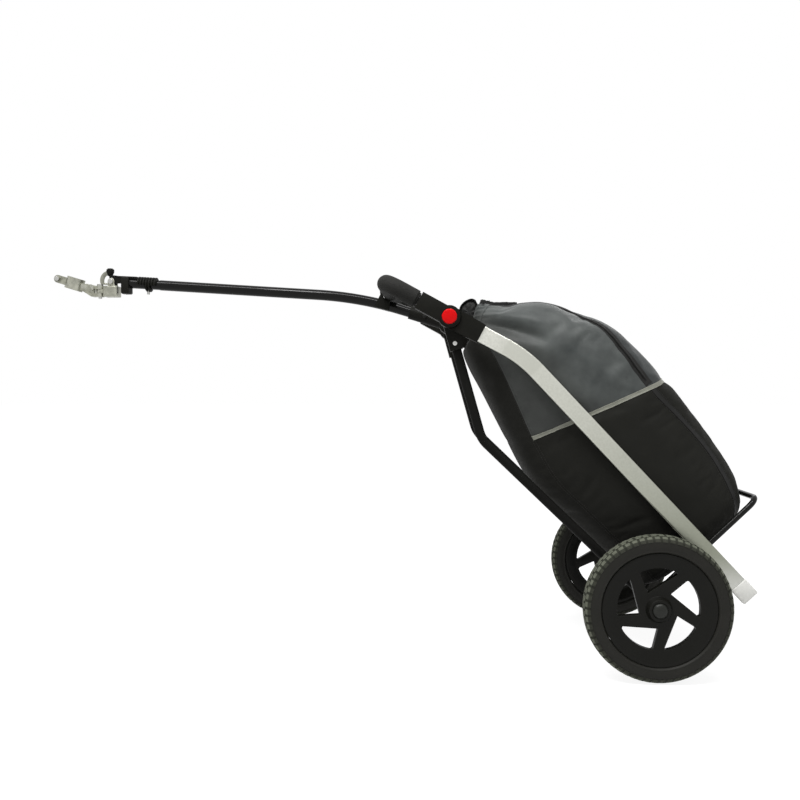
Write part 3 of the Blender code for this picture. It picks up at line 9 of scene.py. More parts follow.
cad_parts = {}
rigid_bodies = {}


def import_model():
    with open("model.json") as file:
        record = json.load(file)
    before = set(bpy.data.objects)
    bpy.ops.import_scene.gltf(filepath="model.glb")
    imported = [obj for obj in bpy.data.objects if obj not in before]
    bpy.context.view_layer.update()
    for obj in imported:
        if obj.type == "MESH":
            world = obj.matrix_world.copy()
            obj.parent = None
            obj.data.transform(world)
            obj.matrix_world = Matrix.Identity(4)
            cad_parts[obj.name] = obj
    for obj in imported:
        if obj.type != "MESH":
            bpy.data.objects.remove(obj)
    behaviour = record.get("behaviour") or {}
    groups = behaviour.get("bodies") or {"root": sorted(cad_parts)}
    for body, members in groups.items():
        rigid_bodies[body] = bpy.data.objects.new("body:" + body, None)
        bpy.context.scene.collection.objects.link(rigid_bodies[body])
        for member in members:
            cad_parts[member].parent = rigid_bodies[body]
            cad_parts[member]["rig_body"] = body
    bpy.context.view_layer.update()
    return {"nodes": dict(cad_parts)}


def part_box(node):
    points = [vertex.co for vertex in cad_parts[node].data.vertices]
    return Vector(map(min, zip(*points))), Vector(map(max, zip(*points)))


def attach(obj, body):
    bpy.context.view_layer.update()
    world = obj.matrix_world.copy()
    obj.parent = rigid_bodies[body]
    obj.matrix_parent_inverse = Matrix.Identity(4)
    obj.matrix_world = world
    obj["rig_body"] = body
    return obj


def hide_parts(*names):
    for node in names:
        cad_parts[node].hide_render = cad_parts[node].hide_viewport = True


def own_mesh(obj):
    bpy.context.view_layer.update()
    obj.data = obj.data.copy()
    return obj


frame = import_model()


# Camera. The photograph looks at the trailer's near side, a little from behind its middle and
# from half its height, with a short telephoto's view.
def added(name):
    """The object that was just added, under its own name."""
    bpy.context.object.name = name
    return bpy.context.object


bpy.ops.object.camera_add(location=(0.85852, -1.888, -0.24629),
                          rotation=(math.radians(89.31), 0, math.radians(3.1)))
camera = added("photo_camera")
camera.data.lens = 37.35
camera.data.sensor_width = 36
bpy.context.scene.camera = camera


# Studio. A pale floor under the wheels and a white surround, which the camera, metal and gloss
# see at full strength. Two soft lamps light it from the front and from behind, and a long narrow
# one above draws thin streaks along the tubes.
def pick(piece):
    """Only this piece is selected and active, as a click on it leaves it."""
    bpy.ops.object.select_all(action="DESELECT")
    piece.select_set(True)
    bpy.context.view_layer.objects.active = piece


def add_node(tree, kind, inputs=(), **settings):
    """A shader node with its settings. An input takes a value or links another node's output."""
    node = tree.nodes.new("ShaderNode" + kind)
    for name, value in settings.items():
        setattr(node, name, value)
    for socket, value in dict(inputs).items():
        if isinstance(value, bpy.types.NodeSocket):
            tree.links.new(value, node.inputs[socket])
        else:
            node.inputs[socket].default_value = value
    return node


def add_math(tree, operation, first, second, clamp=False):
    """The output of one Math node. Each side is a socket to link or a number."""
    return add_node(tree, "Math", {0: first, 1: second}, operation=operation,
                    use_clamp=clamp).outputs[0]


def backdrop_rays(tree):
    """One where a ray comes from the camera, a gloss or a glass, and nothing elsewhere."""
    rays = add_node(tree, "LightPath").outputs
    seen = add_math(tree, "MAXIMUM", rays["Is Camera Ray"], rays["Is Glossy Ray"])
    return add_math(tree, "MAXIMUM", seen, rays["Is Transmission Ray"])


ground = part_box("tyre_left")[0].z
bpy.ops.mesh.primitive_plane_add(size=60, location=(0.7, 0, ground - 0.0004))
floor = added("floor")
floor_paint = bpy.data.materials.new("pale floor")
floor_paint.use_nodes = True
tree = floor_paint.node_tree
tree.nodes.clear()
bare = add_node(tree, "BsdfDiffuse", {"Color": (0.8, 0.8, 0.8, 1)})
white = add_node(tree, "Emission", {"Color": (1, 1, 1, 1), "Strength": 1.45})
share = add_math(tree, "MULTIPLY", backdrop_rays(tree), 0.6)
blend = add_node(tree, "MixShader", {
    "Fac": share, 1: bare.outputs["BSDF"], 2: white.outputs["Emission"]})
add_node(tree, "OutputMaterial", {"Surface": blend.outputs["Shader"]})
floor.data.materials.append(floor_paint)

world = bpy.data.worlds.new("studio")
bpy.context.scene.world = world
world.use_nodes = True
tree = world.node_tree
tree.nodes.clear()
shade = add_node(tree, "MapRange", {"Value": backdrop_rays(tree), "To Min": 0.42, "To Max": 1.0})
glow = add_node(tree, "Background", {"Color": (1, 1, 1, 1), "Strength": shade.outputs["Result"]})
add_node(tree, "OutputWorld", {"Surface": glow.outputs["Background"]})

for name, place, target, size, power in (
        ("key_lamp", (0.1, -1.7, 2.2), (0.9, 0, -0.3), (0.55, 0.55), 25),
        ("back_lamp", (2.2, 2.2, 1.2), (0.9, 0, -0.3), (1.0, 1.0), 7),
        ("strip_lamp", (0.62, -0.85, 1.45), (0.65, 0, -0.05), (2.9, 0.26), 44)):
    bpy.ops.object.light_add(type="AREA", location=place)
    lamp = added(name)
    lamp.data.shape = "RECTANGLE"
    lamp.data.size, lamp.data.size_y = size
    lamp.data.energy = power
    lamp.rotation_euler = (Vector(target) - Vector(place)).to_track_quat("-Z", "Y").to_euler()
bpy.context.scene.view_settings.view_transform = "Standard"


# Seatpost clamp. A die-cast zinc ring and arm, tumbled but not machined, that grips the post
# through a rubber liner. Its bolt, nut and the fork's pin are plated steel.
def node_group(name, inputs, outputs):
    """An empty shader node group with named number inputs and outputs."""
    group = bpy.data.node_groups.new(name, "ShaderNodeTree")
    for label, value in inputs:
        socket = group.interface.new_socket(label, in_out="INPUT", socket_type="NodeSocketFloat")
        socket.default_value = value
    for label in outputs:
        group.interface.new_socket(label, in_out="OUTPUT", socket_type="NodeSocketFloat")
    source = group.nodes.new("NodeGroupInput")
    sink = group.nodes.new("NodeGroupOutput")
    return group, source, sink


tree, source, sink = node_group(
    "fine grain", [("Size", 0.002), ("Patch Size", 0.05)], ["Tone", "Patch", "Height"])
grain_group, place = tree, add_node(tree, "TexCoord").outputs["Object"]
for size_name, detail, tone_name in (("Size", 5, "Tone"), ("Patch Size", 3, "Patch")):
    rate = add_math(tree, "DIVIDE", 1.0, source.outputs[size_name])
    speck = add_node(tree, "TexNoise", {
        "Vector": place, "Scale": rate, "Detail": detail, "Roughness": 0.6}).outputs["Fac"]
    spread = add_node(tree, "MapRange", {"Value": speck, "From Min": 0.3, "From Max": 0.7})
    tree.links.new(spread.outputs["Result"], sink.inputs[tone_name])
    if tone_name == "Tone":
        tree.links.new(speck, sink.inputs["Height"])

# Colour for sharp edges: worn edges on most finishes, and a painted highlight on the aluminium
# bars.
tree, source, sink = node_group("scuffed and shiny edges", [("Amount", 0.5), ("Break Up", 0.004)], ["Mask"])
wear_and_shine_group, place = tree, add_node(tree, "TexCoord").outputs["Object"]
edges = add_node(tree, "NewGeometry").outputs["Pointiness"]
rate = add_math(tree, "DIVIDE", 1.0, source.outputs["Break Up"])
edge_breakup = add_node(tree, "TexNoise", {"Vector": place, "Scale": rate, "Detail": 4})
sharp = add_node(tree, "MapRange", {"Value": edges, "From Min": 0.505, "From Max": 0.56})
broken = add_math(tree, "MULTIPLY", sharp.outputs["Result"], edge_breakup.outputs["Fac"])
wear_and_shine_mask = add_math(tree, "MULTIPLY", broken, source.outputs["Amount"], clamp=True)
tree.links.new(wear_and_shine_mask, sink.inputs["Mask"])


def mix_colour(tree, share, first, second):
    """The colour a share of the way from one colour to another, each given or linked."""
    return add_node(tree, "Mix", {"Factor": share, "A": first, "B": second},
                    data_type="RGBA").outputs["Result"]


def finish(name, colour, patch_colour, rough, metal=0.0, grain=0.0008, patch=0.01, relief=0.00003,
           wear_and_shine=0.0, wear_and_shine_colour=None, gloss=0.5, patch_share=0.5):
    """A Principled material: base colour drifting to a patch colour, grain relief and a colour on
    sharp edges, which is wear on most finishes and a painted highlight on the aluminium bars.
    """
    material = bpy.data.materials.new(name)
    material.use_nodes = True
    tree = material.node_tree
    shader = tree.nodes["Principled BSDF"].inputs
    shader["Metallic"].default_value = metal
    shader["Specular IOR Level"].default_value = gloss
    fine = add_node(tree, "Group", {"Size": grain, "Patch Size": patch}, node_tree=grain_group)
    share = add_math(tree, "MULTIPLY", fine.outputs["Patch"], patch_share)
    tint = mix_colour(tree, share, (*colour, 1), (*patch_colour, 1))
    if wear_and_shine:
        wear_and_shine_tint = add_node(tree, "Group", {"Amount": wear_and_shine}, node_tree=wear_and_shine_group)
        tint = mix_colour(tree, wear_and_shine_tint.outputs["Mask"], tint, (*wear_and_shine_colour, 1))
    tree.links.new(tint, shader["Base Color"])
    dull = add_node(tree, "MapRange", {
        "Value": fine.outputs["Tone"], "To Min": rough[0], "To Max": rough[1]})
    tree.links.new(dull.outputs["Result"], shader["Roughness"])
    bump = add_node(tree, "Bump", {"Height": fine.outputs["Height"], "Distance": relief})
    tree.links.new(bump.outputs["Normal"], shader["Normal"])
    return material


def place_piece(piece, node, material):
    """A finished piece rides where its node does, stands for it and takes its material."""
    if len(piece.data.materials):
        piece.data.materials.clear()
    for coat in material if isinstance(material, list) else [material]:
        piece.data.materials.append(coat)
    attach(piece, frame["nodes"][node]["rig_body"])
    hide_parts(node)
    return piece


def leave_edit():
    """Back to the finished object."""
    bpy.ops.object.mode_set(mode="OBJECT")


def weld():
    """Merges the selected points that lie on each other."""
    bpy.ops.mesh.remove_doubles(threshold=0.00001)


def smooth_faces(degrees):
    """Smooth shading that stops at edges sharper than this."""
    bpy.ops.object.shade_smooth_by_angle(angle=math.radians(degrees))


def edit_all(piece, kind="VERT"):
    """Edit mode on this piece alone, with all of it selected."""
    pick(piece)
    bpy.ops.object.mode_set(mode="EDIT")
    bpy.ops.mesh.select_mode(type=kind)
    bpy.ops.mesh.select_all(action="SELECT")


def broken_edges(node, material, width):
    """A node's solid with its facets merged, sharp edges broken and round faces smooth."""
    piece = bpy.data.objects.new(f"{node}_piece", frame["nodes"][node].data.copy())
    bpy.context.scene.collection.objects.link(piece)
    edit_all(piece)
    weld()
    bpy.ops.mesh.dissolve_limited(angle_limit=math.radians(1.5))
    leave_edit()
    if width:
        edge = piece.modifiers.new("broken edges", "BEVEL")
        edge.width = width
        edge.segments = 3
        edge.limit_method = "ANGLE"
        edge.angle_limit = math.radians(32)
        bpy.ops.object.modifier_apply(modifier=edge.name)
    smooth_faces(35)
    return place_piece(piece, node, material)


cast_zinc = finish(
    "cast zinc", (0.4, 0.4, 0.325), (0.13, 0.133, 0.103), (0.26, 0.42), metal=0.9, grain=0.0012,
    patch=0.019, relief=0.00009, wear_and_shine=0.8, wear_and_shine_colour=(0.62, 0.62, 0.56), patch_share=0.95)
plated_steel = finish(
    "plated steel", (0.52, 0.52, 0.5), (0.36, 0.36, 0.34), (0.16, 0.3), metal=1.0)
liner_rubber = finish(
    "liner rubber", (0.014, 0.014, 0.013), (0.02, 0.02, 0.018), (0.6, 0.8), grain=0.001,
    relief=0.00006, gloss=0.2)
broken_edges("clamp_casting", cast_zinc, 0.0007)
broken_edges("post_liner", liner_rubber, 0.0003)
for node in ("clamp_bolt", "clamp_nut", "yaw_pin"):
    broken_edges(node, plated_steel, 0.0002)


# Swivel block. A second zinc casting turns on the fork's pin and carries the cross bolt of the
# tilt joint, with the C-shaped hook riveted to its far side.
broken_edges("swivel_block", cast_zinc, 0.0006)
broken_edges("safety_hook", cast_zinc, 0.0004)
for node in ("pitch_bolt", "pitch_nut", "hook_rivet"):
    broken_edges(node, plated_steel, 0.0002)


# Coupler. A black moulding with an eye for the cross bolt and a socket in which the drawbar's
# end turns. A sprung pull knob locks it.
black_moulding = finish(
    "black moulding", (0.0075, 0.0075, 0.0062), (0.0105, 0.0105, 0.0085), (0.42, 0.56),
    grain=0.0007, patch=0.03, relief=0.00004, wear_and_shine=0.3, wear_and_shine_colour=(0.018, 0.018, 0.015),
    gloss=0.06)
broken_edges("coupler", black_moulding, 0.0006)
broken_edges("pull_knob", black_moulding, 0.0004)


# Drawbar. A 22 mm steel tube, rolled to a gentle bend near the handle and powder coated gloss
# black. It ends inside the handle's sleeve.
def close_up(smooth):
    """Welds what is being edited, closes its holes, leaves it and smooths its round faces."""
    bpy.ops.mesh.select_all(action="SELECT")
    weld()
    bpy.ops.mesh.fill_holes(sides=0)
    bpy.ops.mesh.select_all(action="SELECT")
    bpy.ops.mesh.normals_make_consistent(inside=False)
    leave_edit()
    smooth_faces(smooth)


def drawn(piece, corners, bend, steps):
    """Draws an open outline along straight runs and round bends, then closes its ends."""
    edit_all(piece, "EDGE")
    here = corners[0]
    for before, corner, after in zip(corners, corners[1:], corners[2:]):
        into = (corner - before).normalized()
        onto = (after - corner).normalized()
        angle = into.angle(onto)
        reach = bend * math.tan(angle / 2)
        start = corner - into * reach
        axis = into.cross(onto).normalized()
        centre = start + axis.cross(into) * bend
        bpy.ops.mesh.extrude_region_move(TRANSFORM_OT_translate={"value": start - here})
        bpy.ops.mesh.spin(steps=steps, angle=-angle, center=centre, axis=axis)
        here = corner + onto * reach
    bpy.ops.mesh.extrude_region_move(TRANSFORM_OT_translate={"value": corners[-1] - here})
    close_up(smooth=40)


def bent_tube(name, corners, bend, radius, sides, steps):
    """A round tube along straight runs and bends, closed at both ends."""
    turn = (corners[1] - corners[0]).to_track_quat("Z", "Y").to_euler()
    bpy.ops.mesh.primitive_circle_add(vertices=sides, radius=radius, location=corners[0],
                                      rotation=turn)
    piece = added(name)
    bpy.ops.object.transform_apply()
    drawn(piece, corners, bend, steps)
    return piece


gloss_black = finish(
    "gloss black coat", (0.0035, 0.0035, 0.0032), (0.005, 0.005, 0.0045), (0.08, 0.13),
    grain=0.0016, patch=0.06, relief=0.00001, wear_and_shine=0.2, wear_and_shine_colour=(0.03, 0.03, 0.027), gloss=0.15)
pivot = Vector((0.8675, 0, -0.0974))
drawbar_front, drawbar_bend = Vector((0.1185, 0, 0.001)), Vector((0.669, 0, -0.0353))
drawbar_end = pivot + (drawbar_bend - pivot).normalized() * 0.031
drawbar = bent_tube("drawbar_tube_piece", [drawbar_front, drawbar_bend, drawbar_end],
                    bend=0.84, radius=0.011, sides=48, steps=24)
step_start, step_end = 0.2, 0.204
sleeve_front, coat_step = 0.765, 0.0009
edit_all(drawbar)
for cut in (step_start, step_end):
    bpy.ops.mesh.select_all(action="SELECT")
    bpy.ops.mesh.bisect(plane_co=(cut, 0, 0), plane_no=(1, 0, 0))
leave_edit()
for vertex in drawbar.data.vertices:
    if (step_start + step_end) / 2 < vertex.co.x < sleeve_front:
        vertex.co += vertex.normal * coat_step
place_piece(drawbar, "drawbar_tube", gloss_black)


# Ribbed collar, a rubbery moulding on the drawbar behind the coupler, with its screw below.
broken_edges("ribbed_collar", black_moulding, 0.0003)
broken_edges("collar_screw", plated_steel, 0.0002)


# Sleeve. A moulded socket that holds the drawbar's rear end and turns as a ring round the
# handle's cross tube, with one bolt from the near side. A moulded hook ties the drawbar to the
# handle's crossbar.
def select_where(piece, kind, wanted):
    """Edit mode with the vertices or faces that pass a test selected, and nothing else."""
    edit_all(piece, kind)
    bpy.ops.mesh.select_all(action="DESELECT")
    leave_edit()
    for part in piece.data.vertices if kind == "VERT" else piece.data.polygons:
        part.select = wanted(part)
    bpy.ops.object.mode_set(mode="EDIT")


broken_edges("drawbar_sleeve", black_moulding, 0.0004)
black_steel = finish(
    "blackened steel", (0.012, 0.012, 0.011), (0.02, 0.02, 0.018), (0.4, 0.55), metal=0.6,
    gloss=0.2)
broken_edges("sleeve_bolt", black_steel, 0.0002)
tie_hook = broken_edges("tie_hook", black_moulding, 0.0006)
rear_way = (pivot - drawbar_bend).normalized()
below_bar = Vector((rear_way.z, 0, -rear_way.x))
for shallow, deep, lift in ((0.015, 0.03, 0.0046), (0.012, 0.015, 0.0008)):
    select_where(tie_hook, "VERT", lambda v: shallow < (v.co - pivot).dot(below_bar) <= deep)
    bpy.ops.transform.translate(value=below_bar * -lift)
    leave_edit()


# Handle. A bent steel bow in a thick foam grip, carried by two moulded arms on a cross tube.
# A red button on each arm frees the angle lock.
broken_edges("handle_bow", gloss_black, 0.0)
broken_edges("pivot_tube", gloss_black, 0.0003)
grip_foam = finish(
    "foam rubber", (0.0095, 0.0095, 0.0085), (0.015, 0.015, 0.013), (0.7, 0.86), grain=0.0009,
    patch=0.03, relief=0.0003, wear_and_shine=0.3, wear_and_shine_colour=(0.03, 0.03, 0.027), gloss=0.2)
bow_angle = math.radians(151.1)
bow_way = Vector((math.cos(bow_angle), 0, math.sin(bow_angle)))
grip_start, grip_corner = pivot + bow_way * 0.0765, pivot + bow_way * 0.1512
bow_half, spring_foot = 0.19, 0.1918


def u_shape(start, corner, half):
    """The four corners of a U that lies across the trailer, from its near leg to its far leg."""
    return [point + Vector((0, side, 0)) for point, side in (
        (start, -half), (corner, -half), (corner, half), (start, half))]


grip = bent_tube("grip_piece", u_shape(grip_start, grip_corner, bow_half),
                 bend=0.04, radius=0.0186, sides=48, steps=14)
select_where(grip, "FACE", lambda face: len(face.vertices) > 4)
bpy.ops.mesh.bevel(offset=0.0022, segments=4, affect="EDGES")
leave_edit()
select_where(grip, "FACE", lambda face: len(face.vertices) > 4)
for inset, rise in ((0.0014, 0.0034), (0.0012, -0.003)):
    bpy.ops.mesh.inset(thickness=inset)
    bpy.ops.mesh.extrude_region_shrink_fatten(TRANSFORM_OT_shrink_fatten={"value": rise})
leave_edit()
smooth_faces(40)
place_piece(grip, "grip", grip_foam)
for side, sign in (("left", -1), ("right", 1)):
    broken_edges(f"handle_arm_{side}", black_moulding, 0.0004)
    spring = broken_edges(f"button_spring_{side}", plated_steel, 0.0)
    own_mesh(spring)
red_moulding = finish(
    "red moulding", (0.6, 0.002, 0.003), (0.52, 0.0015, 0.0025), (0.2, 0.3), grain=0.0006,
    gloss=0.14)
for side in ("left", "right"):
    broken_edges(f"release_button_{side}", red_moulding, 0.0007)


# Bar holders. Moulded sockets behind the handle arms: each takes a side bar's upper end and,
# in a tab below, the top of a lower tube, held by a pan-head screw.
for side in ("left", "right"):
    broken_edges(f"bar_holder_{side}", black_moulding, 0.0004)
    broken_edges(f"tube_screw_{side}", plated_steel, 0.0002)


# Side bars. Flat aluminium extrusions with rounded edges, bent once near the top, brushed and
# clear anodised. A light grey moulded cap closes each foot.
top_angle, main_angle = math.radians(-28.2), math.radians(-46.95)
tree, source, sink = node_group(
    "brushed lines", [("Length", 0.06), ("Width", 0.0005)], ["Height"])
brushed_group, place = tree, add_node(tree, "TexCoord").outputs["Object"]
turned = add_node(tree, "Mapping", {"Vector": place, "Rotation": (0, main_angle, 0)})
along, across = (add_math(tree, "DIVIDE", 1.0, source.outputs[name])
                 for name in ("Length", "Width"))
squeeze = add_node(tree, "CombineXYZ", {"X": along, "Y": across, "Z": across})
stretch = add_node(tree, "VectorMath", {
    0: turned.outputs["Vector"], 1: squeeze.outputs["Vector"]}, operation="MULTIPLY")
lines = add_node(tree, "TexNoise", {
    "Vector": stretch.outputs["Vector"], "Scale": 1.0, "Detail": 3})
tree.links.new(lines.outputs["Fac"], sink.inputs["Height"])


def soft_step(tree, value, start, stop, top=1.0):
    """Nothing before the start and the top past the stop, with a smooth rise between them."""
    return add_node(tree, "MapRange", {
        "Value": value, "From Min": start, "From Max": stop, "To Max": top},
        interpolation_type="SMOOTHSTEP").outputs["Result"]


# The near-white edge colour of the bars is a painted highlight along their rounded edges.
anodised = finish(
    "brushed aluminium", (0.54, 0.545, 0.485), (0.45, 0.455, 0.4), (0.28, 0.4), metal=0.8,
    grain=0.002, patch=0.12, relief=0.00004, wear_and_shine=1.0, wear_and_shine_colour=(0.9, 0.9, 0.84))
tree = anodised.node_tree
streaks = add_node(tree, "Group", node_tree=brushed_group)
tree.links.new(streaks.outputs["Height"], tree.nodes["Bump"].inputs["Height"])
# The bars' colour darkens towards the bottom and lightens again near the feet.
place = add_node(tree, "TexCoord").outputs["Object"]
height = add_node(tree, "SeparateXYZ", {"Vector": place}).outputs["Z"]
film = tree.nodes["Principled BSDF"].inputs["Base Color"]
darker_downward = mix_colour(tree, soft_step(tree, height, -0.1, -0.63), film.links[0].from_socket,
                   (0.25, 0.262, 0.205, 1))
lighter_at_foot = mix_colour(tree, soft_step(tree, height, -0.565, -0.645), darker_downward, (0.5, 0.505, 0.47, 1))
tree.links.new(lighter_at_foot, film)
bar_gauge, bar_thick, bar_wide = 0.19, 0.014, 0.034
top_way = Vector((math.cos(top_angle), 0, math.sin(top_angle)))
main_way = Vector((math.cos(main_angle), 0, math.sin(main_angle)))
bar_corner = pivot + top_way * 0.1691
bar_end = bar_corner + main_way * 0.6277
for side, sign in (("left", -1), ("right", 1)):
    shift = Vector((0, sign * bar_gauge, 0))
    start = pivot + top_way * 0.04 + shift
    bpy.ops.mesh.primitive_plane_add(size=1, location=start,
                                     rotation=top_way.to_track_quat("Z", "Y").to_euler())
    bar = added(f"side_bar_{side}_piece")
    bar.scale = (bar_thick, bar_wide, 1)
    bpy.ops.object.transform_apply()
    bpy.ops.object.mode_set(mode="EDIT")
    bpy.ops.mesh.bevel(offset=0.0032, segments=6, affect="VERTICES")
    bpy.ops.mesh.select_all(action="SELECT")
    bpy.ops.mesh.delete(type="ONLY_FACE")
    leave_edit()
    drawn(bar, [start, bar_corner + shift, bar_end + shift], bend=0.26, steps=18)
    place_piece(bar, f"side_bar_{side}", anodised)

cap_plastic = finish(
    "light grey plastic", (0.86, 0.86, 0.82), (0.8, 0.8, 0.76), (0.4, 0.55),
    patch=0.03, relief=0.00005, wear_and_shine=0.4, wear_and_shine_colour=(0.5, 0.5, 0.46))
for side in ("left", "right"):
    broken_edges(f"foot_cap_{side}", cap_plastic, 0.001)


# Lower tubes. 20 mm steel tubes from the holders' tabs to the axle, bent once and powder coated
# satin black.
axle = Vector((1.2745, 0, -0.6735))
tube_top, tube_corner = Vector((0.876, 0, -0.14)), Vector((0.9345, 0, -0.348))
foot = axle + (tube_corner - axle).normalized() * 0.0085
tube_half_gauge = 0.158
satin_black = finish(
    "satin black coat", (0.006, 0.006, 0.0054), (0.009, 0.009, 0.008), (0.5, 0.62), grain=0.0016,
    patch=0.06, wear_and_shine=0.2, wear_and_shine_colour=(0.02, 0.02, 0.018), gloss=0.05)
for side, sign in (("left", -1), ("right", 1)):
    shift = Vector((0, sign * tube_half_gauge, 0))
    lower = bent_tube(f"lower_tube_{side}_piece",
                      [point + shift for point in (tube_top, tube_corner, foot)],
                      bend=0.06, radius=0.01, sides=40, steps=16)
    place_piece(lower, f"lower_tube_{side}", satin_black)


# Axle and base. The axle tube ties the lower tubes round the wheels' rod. A 12 mm rod bent to a
# U is welded to it, rests on the side bars in two saddles and carries the bag's base. A rod
# between the bar holders takes the bag's webbing loop.
broken_edges("axle_tube", satin_black, 0.0004)
broken_edges("axle_rod", plated_steel, 0.0004)
loop_corner, loop_half = Vector((1.49, 0, -0.4655)), 0.1755
loop_start = axle + (loop_corner - axle).normalized() * 0.01
base_loop = bent_tube("base_loop_piece", u_shape(loop_start, loop_corner, loop_half),
                      bend=0.024, radius=0.006, sides=32, steps=12)
place_piece(base_loop, "base_loop", gloss_black)
for side in ("left", "right"):
    broken_edges(f"loop_saddle_{side}", black_moulding, 0.0003)
broken_edges("hang_rod", gloss_black, 0.0003)


# Tyres. Solid black rubber with two sidewall beads and a tread of small blocks, cut by grooves
# and grey with road dust. Each is turned from one profile and its blocks raised from the crown.
sidewall_rubber = finish(
    "sidewall rubber", (0.0105, 0.0102, 0.008), (0.0155, 0.015, 0.012), (0.42, 0.6),
    grain=0.0012, patch=0.03, relief=0.0001, wear_and_shine=0.3, wear_and_shine_colour=(0.03, 0.03, 0.025), gloss=0.18)
tread_rubber = finish(
    "dusty tread rubber", (0.068, 0.073, 0.055), (0.12, 0.127, 0.096), (0.7, 0.9), grain=0.0016,
    patch=0.02, relief=0.0004, wear_and_shine=0.6, wear_and_shine_colour=(0.19, 0.2, 0.155), gloss=0.12,
    patch_share=0.9)
groove_rubber = finish(
    "groove rubber", (0.03, 0.032, 0.024), (0.055, 0.059, 0.044), (0.75, 0.9), grain=0.0016,
    patch=0.02, relief=0.0003, gloss=0.12)
shoulder_rubber = finish(
    "tyre shoulder rubber", (0.017, 0.0175, 0.0135), (0.04, 0.042, 0.032), (0.65, 0.85),
    grain=0.0012, patch=0.015, relief=0.0003, wear_and_shine=0.6, wear_and_shine_colour=(0.07, 0.073, 0.056),
    gloss=0.12)
tyre_half_profile = [
    (0.1434, 0.0043), (0.1433, 0.0055), (0.1424, 0.012), (0.1419, 0.0132),
    (0.1384, 0.0188), (0.1362, 0.0208), (0.133, 0.0224), (0.129, 0.0234),
    (0.1245, 0.024), (0.12, 0.0237), (0.1176, 0.0229), (0.1166, 0.023),
    (0.1154, 0.0234), (0.1142, 0.0228), (0.113, 0.0212), (0.112, 0.0198),
    (0.1113, 0.018)]
tyre_profile = tyre_half_profile + [(r, -t) for r, t in reversed(tyre_half_profile)]
half_track, tread_steps = 0.2425, 180
crown_reach, shoulder_reach, block_height = 0.1345, 0.1378, 0.0011
for side, sign in (("left", -1), ("right", 1)):
    hub_middle = axle + Vector((0, sign * half_track, 0))
    bpy.ops.mesh.primitive_circle_add(vertices=len(tyre_profile))
    tyre = added(f"tyre_{side}_piece")
    for vertex, (r, t) in zip(tyre.data.vertices, tyre_profile):
        vertex.co = hub_middle + Vector((0, t, r))
    edit_all(tyre, "EDGE")
    bpy.ops.mesh.spin(steps=tread_steps, angle=2 * math.pi, center=hub_middle, axis=(0, 1, 0))
    bpy.ops.mesh.select_all(action="SELECT")
    weld()
    bpy.ops.mesh.normals_make_consistent(inside=False)
    bpy.ops.mesh.select_mode(type="FACE")
    bpy.ops.mesh.select_all(action="DESELECT")
    leave_edit()
    for face in tyre.data.polygons:
        middle = face.center - hub_middle
        reach, turn = math.hypot(middle.x, middle.z), math.atan2(middle.z, middle.x)
        step = int((turn / (2 * math.pi) + 1) * tread_steps) % tread_steps
        across = abs(middle.y)
        crown_face = reach > crown_reach
        shift = 0 if middle.y < 0 else 1
        raised = crown_face and (
            (across < 0.004 and step % 6 != 0)
            or (0.0056 < across < 0.0119 and (step + shift) % 3 != 0)
            or (across > 0.0133 and (step + 1 + shift) % 3 != 0))
        face.select = raised
        side_face = reach < shoulder_reach
        face.material_index = 0 if not crown_face else 3 if side_face else 1 if raised else 2
    bpy.ops.object.mode_set(mode="EDIT")
    bpy.ops.mesh.extrude_region_shrink_fatten(TRANSFORM_OT_shrink_fatten={"value": block_height})
    leave_edit()
    smooth_faces(32)
    place_piece(tyre, f"tyre_{side}",
                [sidewall_rubber, tread_rubber, groove_rubber, shoulder_rubber])


# Rims. Black moulded wheels with five swept spokes, two plated bearings in each hub and a
# round cap that is pressed to slide the wheel off its axle.
rim_moulding = finish(
    "rim moulding", (0.0055, 0.0055, 0.0042), (0.008, 0.008, 0.0065), (0.34, 0.5), grain=0.0009,
    patch=0.04, relief=0.00004, wear_and_shine=0.3, wear_and_shine_colour=(0.02, 0.02, 0.017), gloss=0.12)
cap_moulding = finish(
    "hub cap moulding", (0.012, 0.013, 0.0105), (0.018, 0.0195, 0.016), (0.3, 0.42),
    relief=0.00004, gloss=0.22)
for side in ("left", "right"):
    broken_edges(f"rim_{side}", rim_moulding, 0.0012)
    broken_edges(f"wheel_bearing_{side}", plated_steel, 0.0003)
    broken_edges(f"wheel_release_{side}", cap_moulding, 0.0005)


# Bag. Three cloths sewn to one shell: coated grey on the upper sides, the same grey made darker
# over the front as painted shade, and black for the back and the lower part. It is gathered at the
# neck, sags over what fills it and stands on the base loop.
tree, source, sink = node_group("plain weave", [("Thread", 0.0007)], ["Height"])
weave_group, spot = tree, add_node(tree, "UVMap", uv_map="cloth").outputs["UV"]
apart = add_node(tree, "SeparateXYZ", {"Vector": spot})
waves = []
for axis in ("X", "Y"):
    step = add_math(tree, "DIVIDE", apart.outputs[axis], source.outputs["Thread"])
    waves.append(add_math(tree, "SINE", add_math(tree, "MULTIPLY", step, math.pi), 0.0))
halved = add_math(tree, "MULTIPLY", add_math(tree, "MULTIPLY", *waves), 0.5)
tree.links.new(add_math(tree, "ADD", halved, 0.5), sink.inputs["Height"])


def cloth(name, colour, light_colour, rough, thread, relief, sheen, gloss, patch):
    """A woven cloth: thread relief from its UV map, faded patches and a soft sheen."""
    material = finish(name, colour, light_colour, rough, grain=0.003, patch=patch, relief=relief,
                      patch_share=0.75, gloss=gloss)
    tree = material.node_tree
    shader = tree.nodes["Principled BSDF"].inputs
    shader["Sheen Weight"].default_value = sheen
    shader["Sheen Roughness"].default_value = 0.5
    threads = add_node(tree, "Group", {"Thread": thread}, node_tree=weave_group)
    woven = add_math(tree, "ADD", tree.nodes["Group"].outputs["Height"], threads.outputs["Height"])
    tree.links.new(woven, tree.nodes["Bump"].inputs["Height"])
    return material


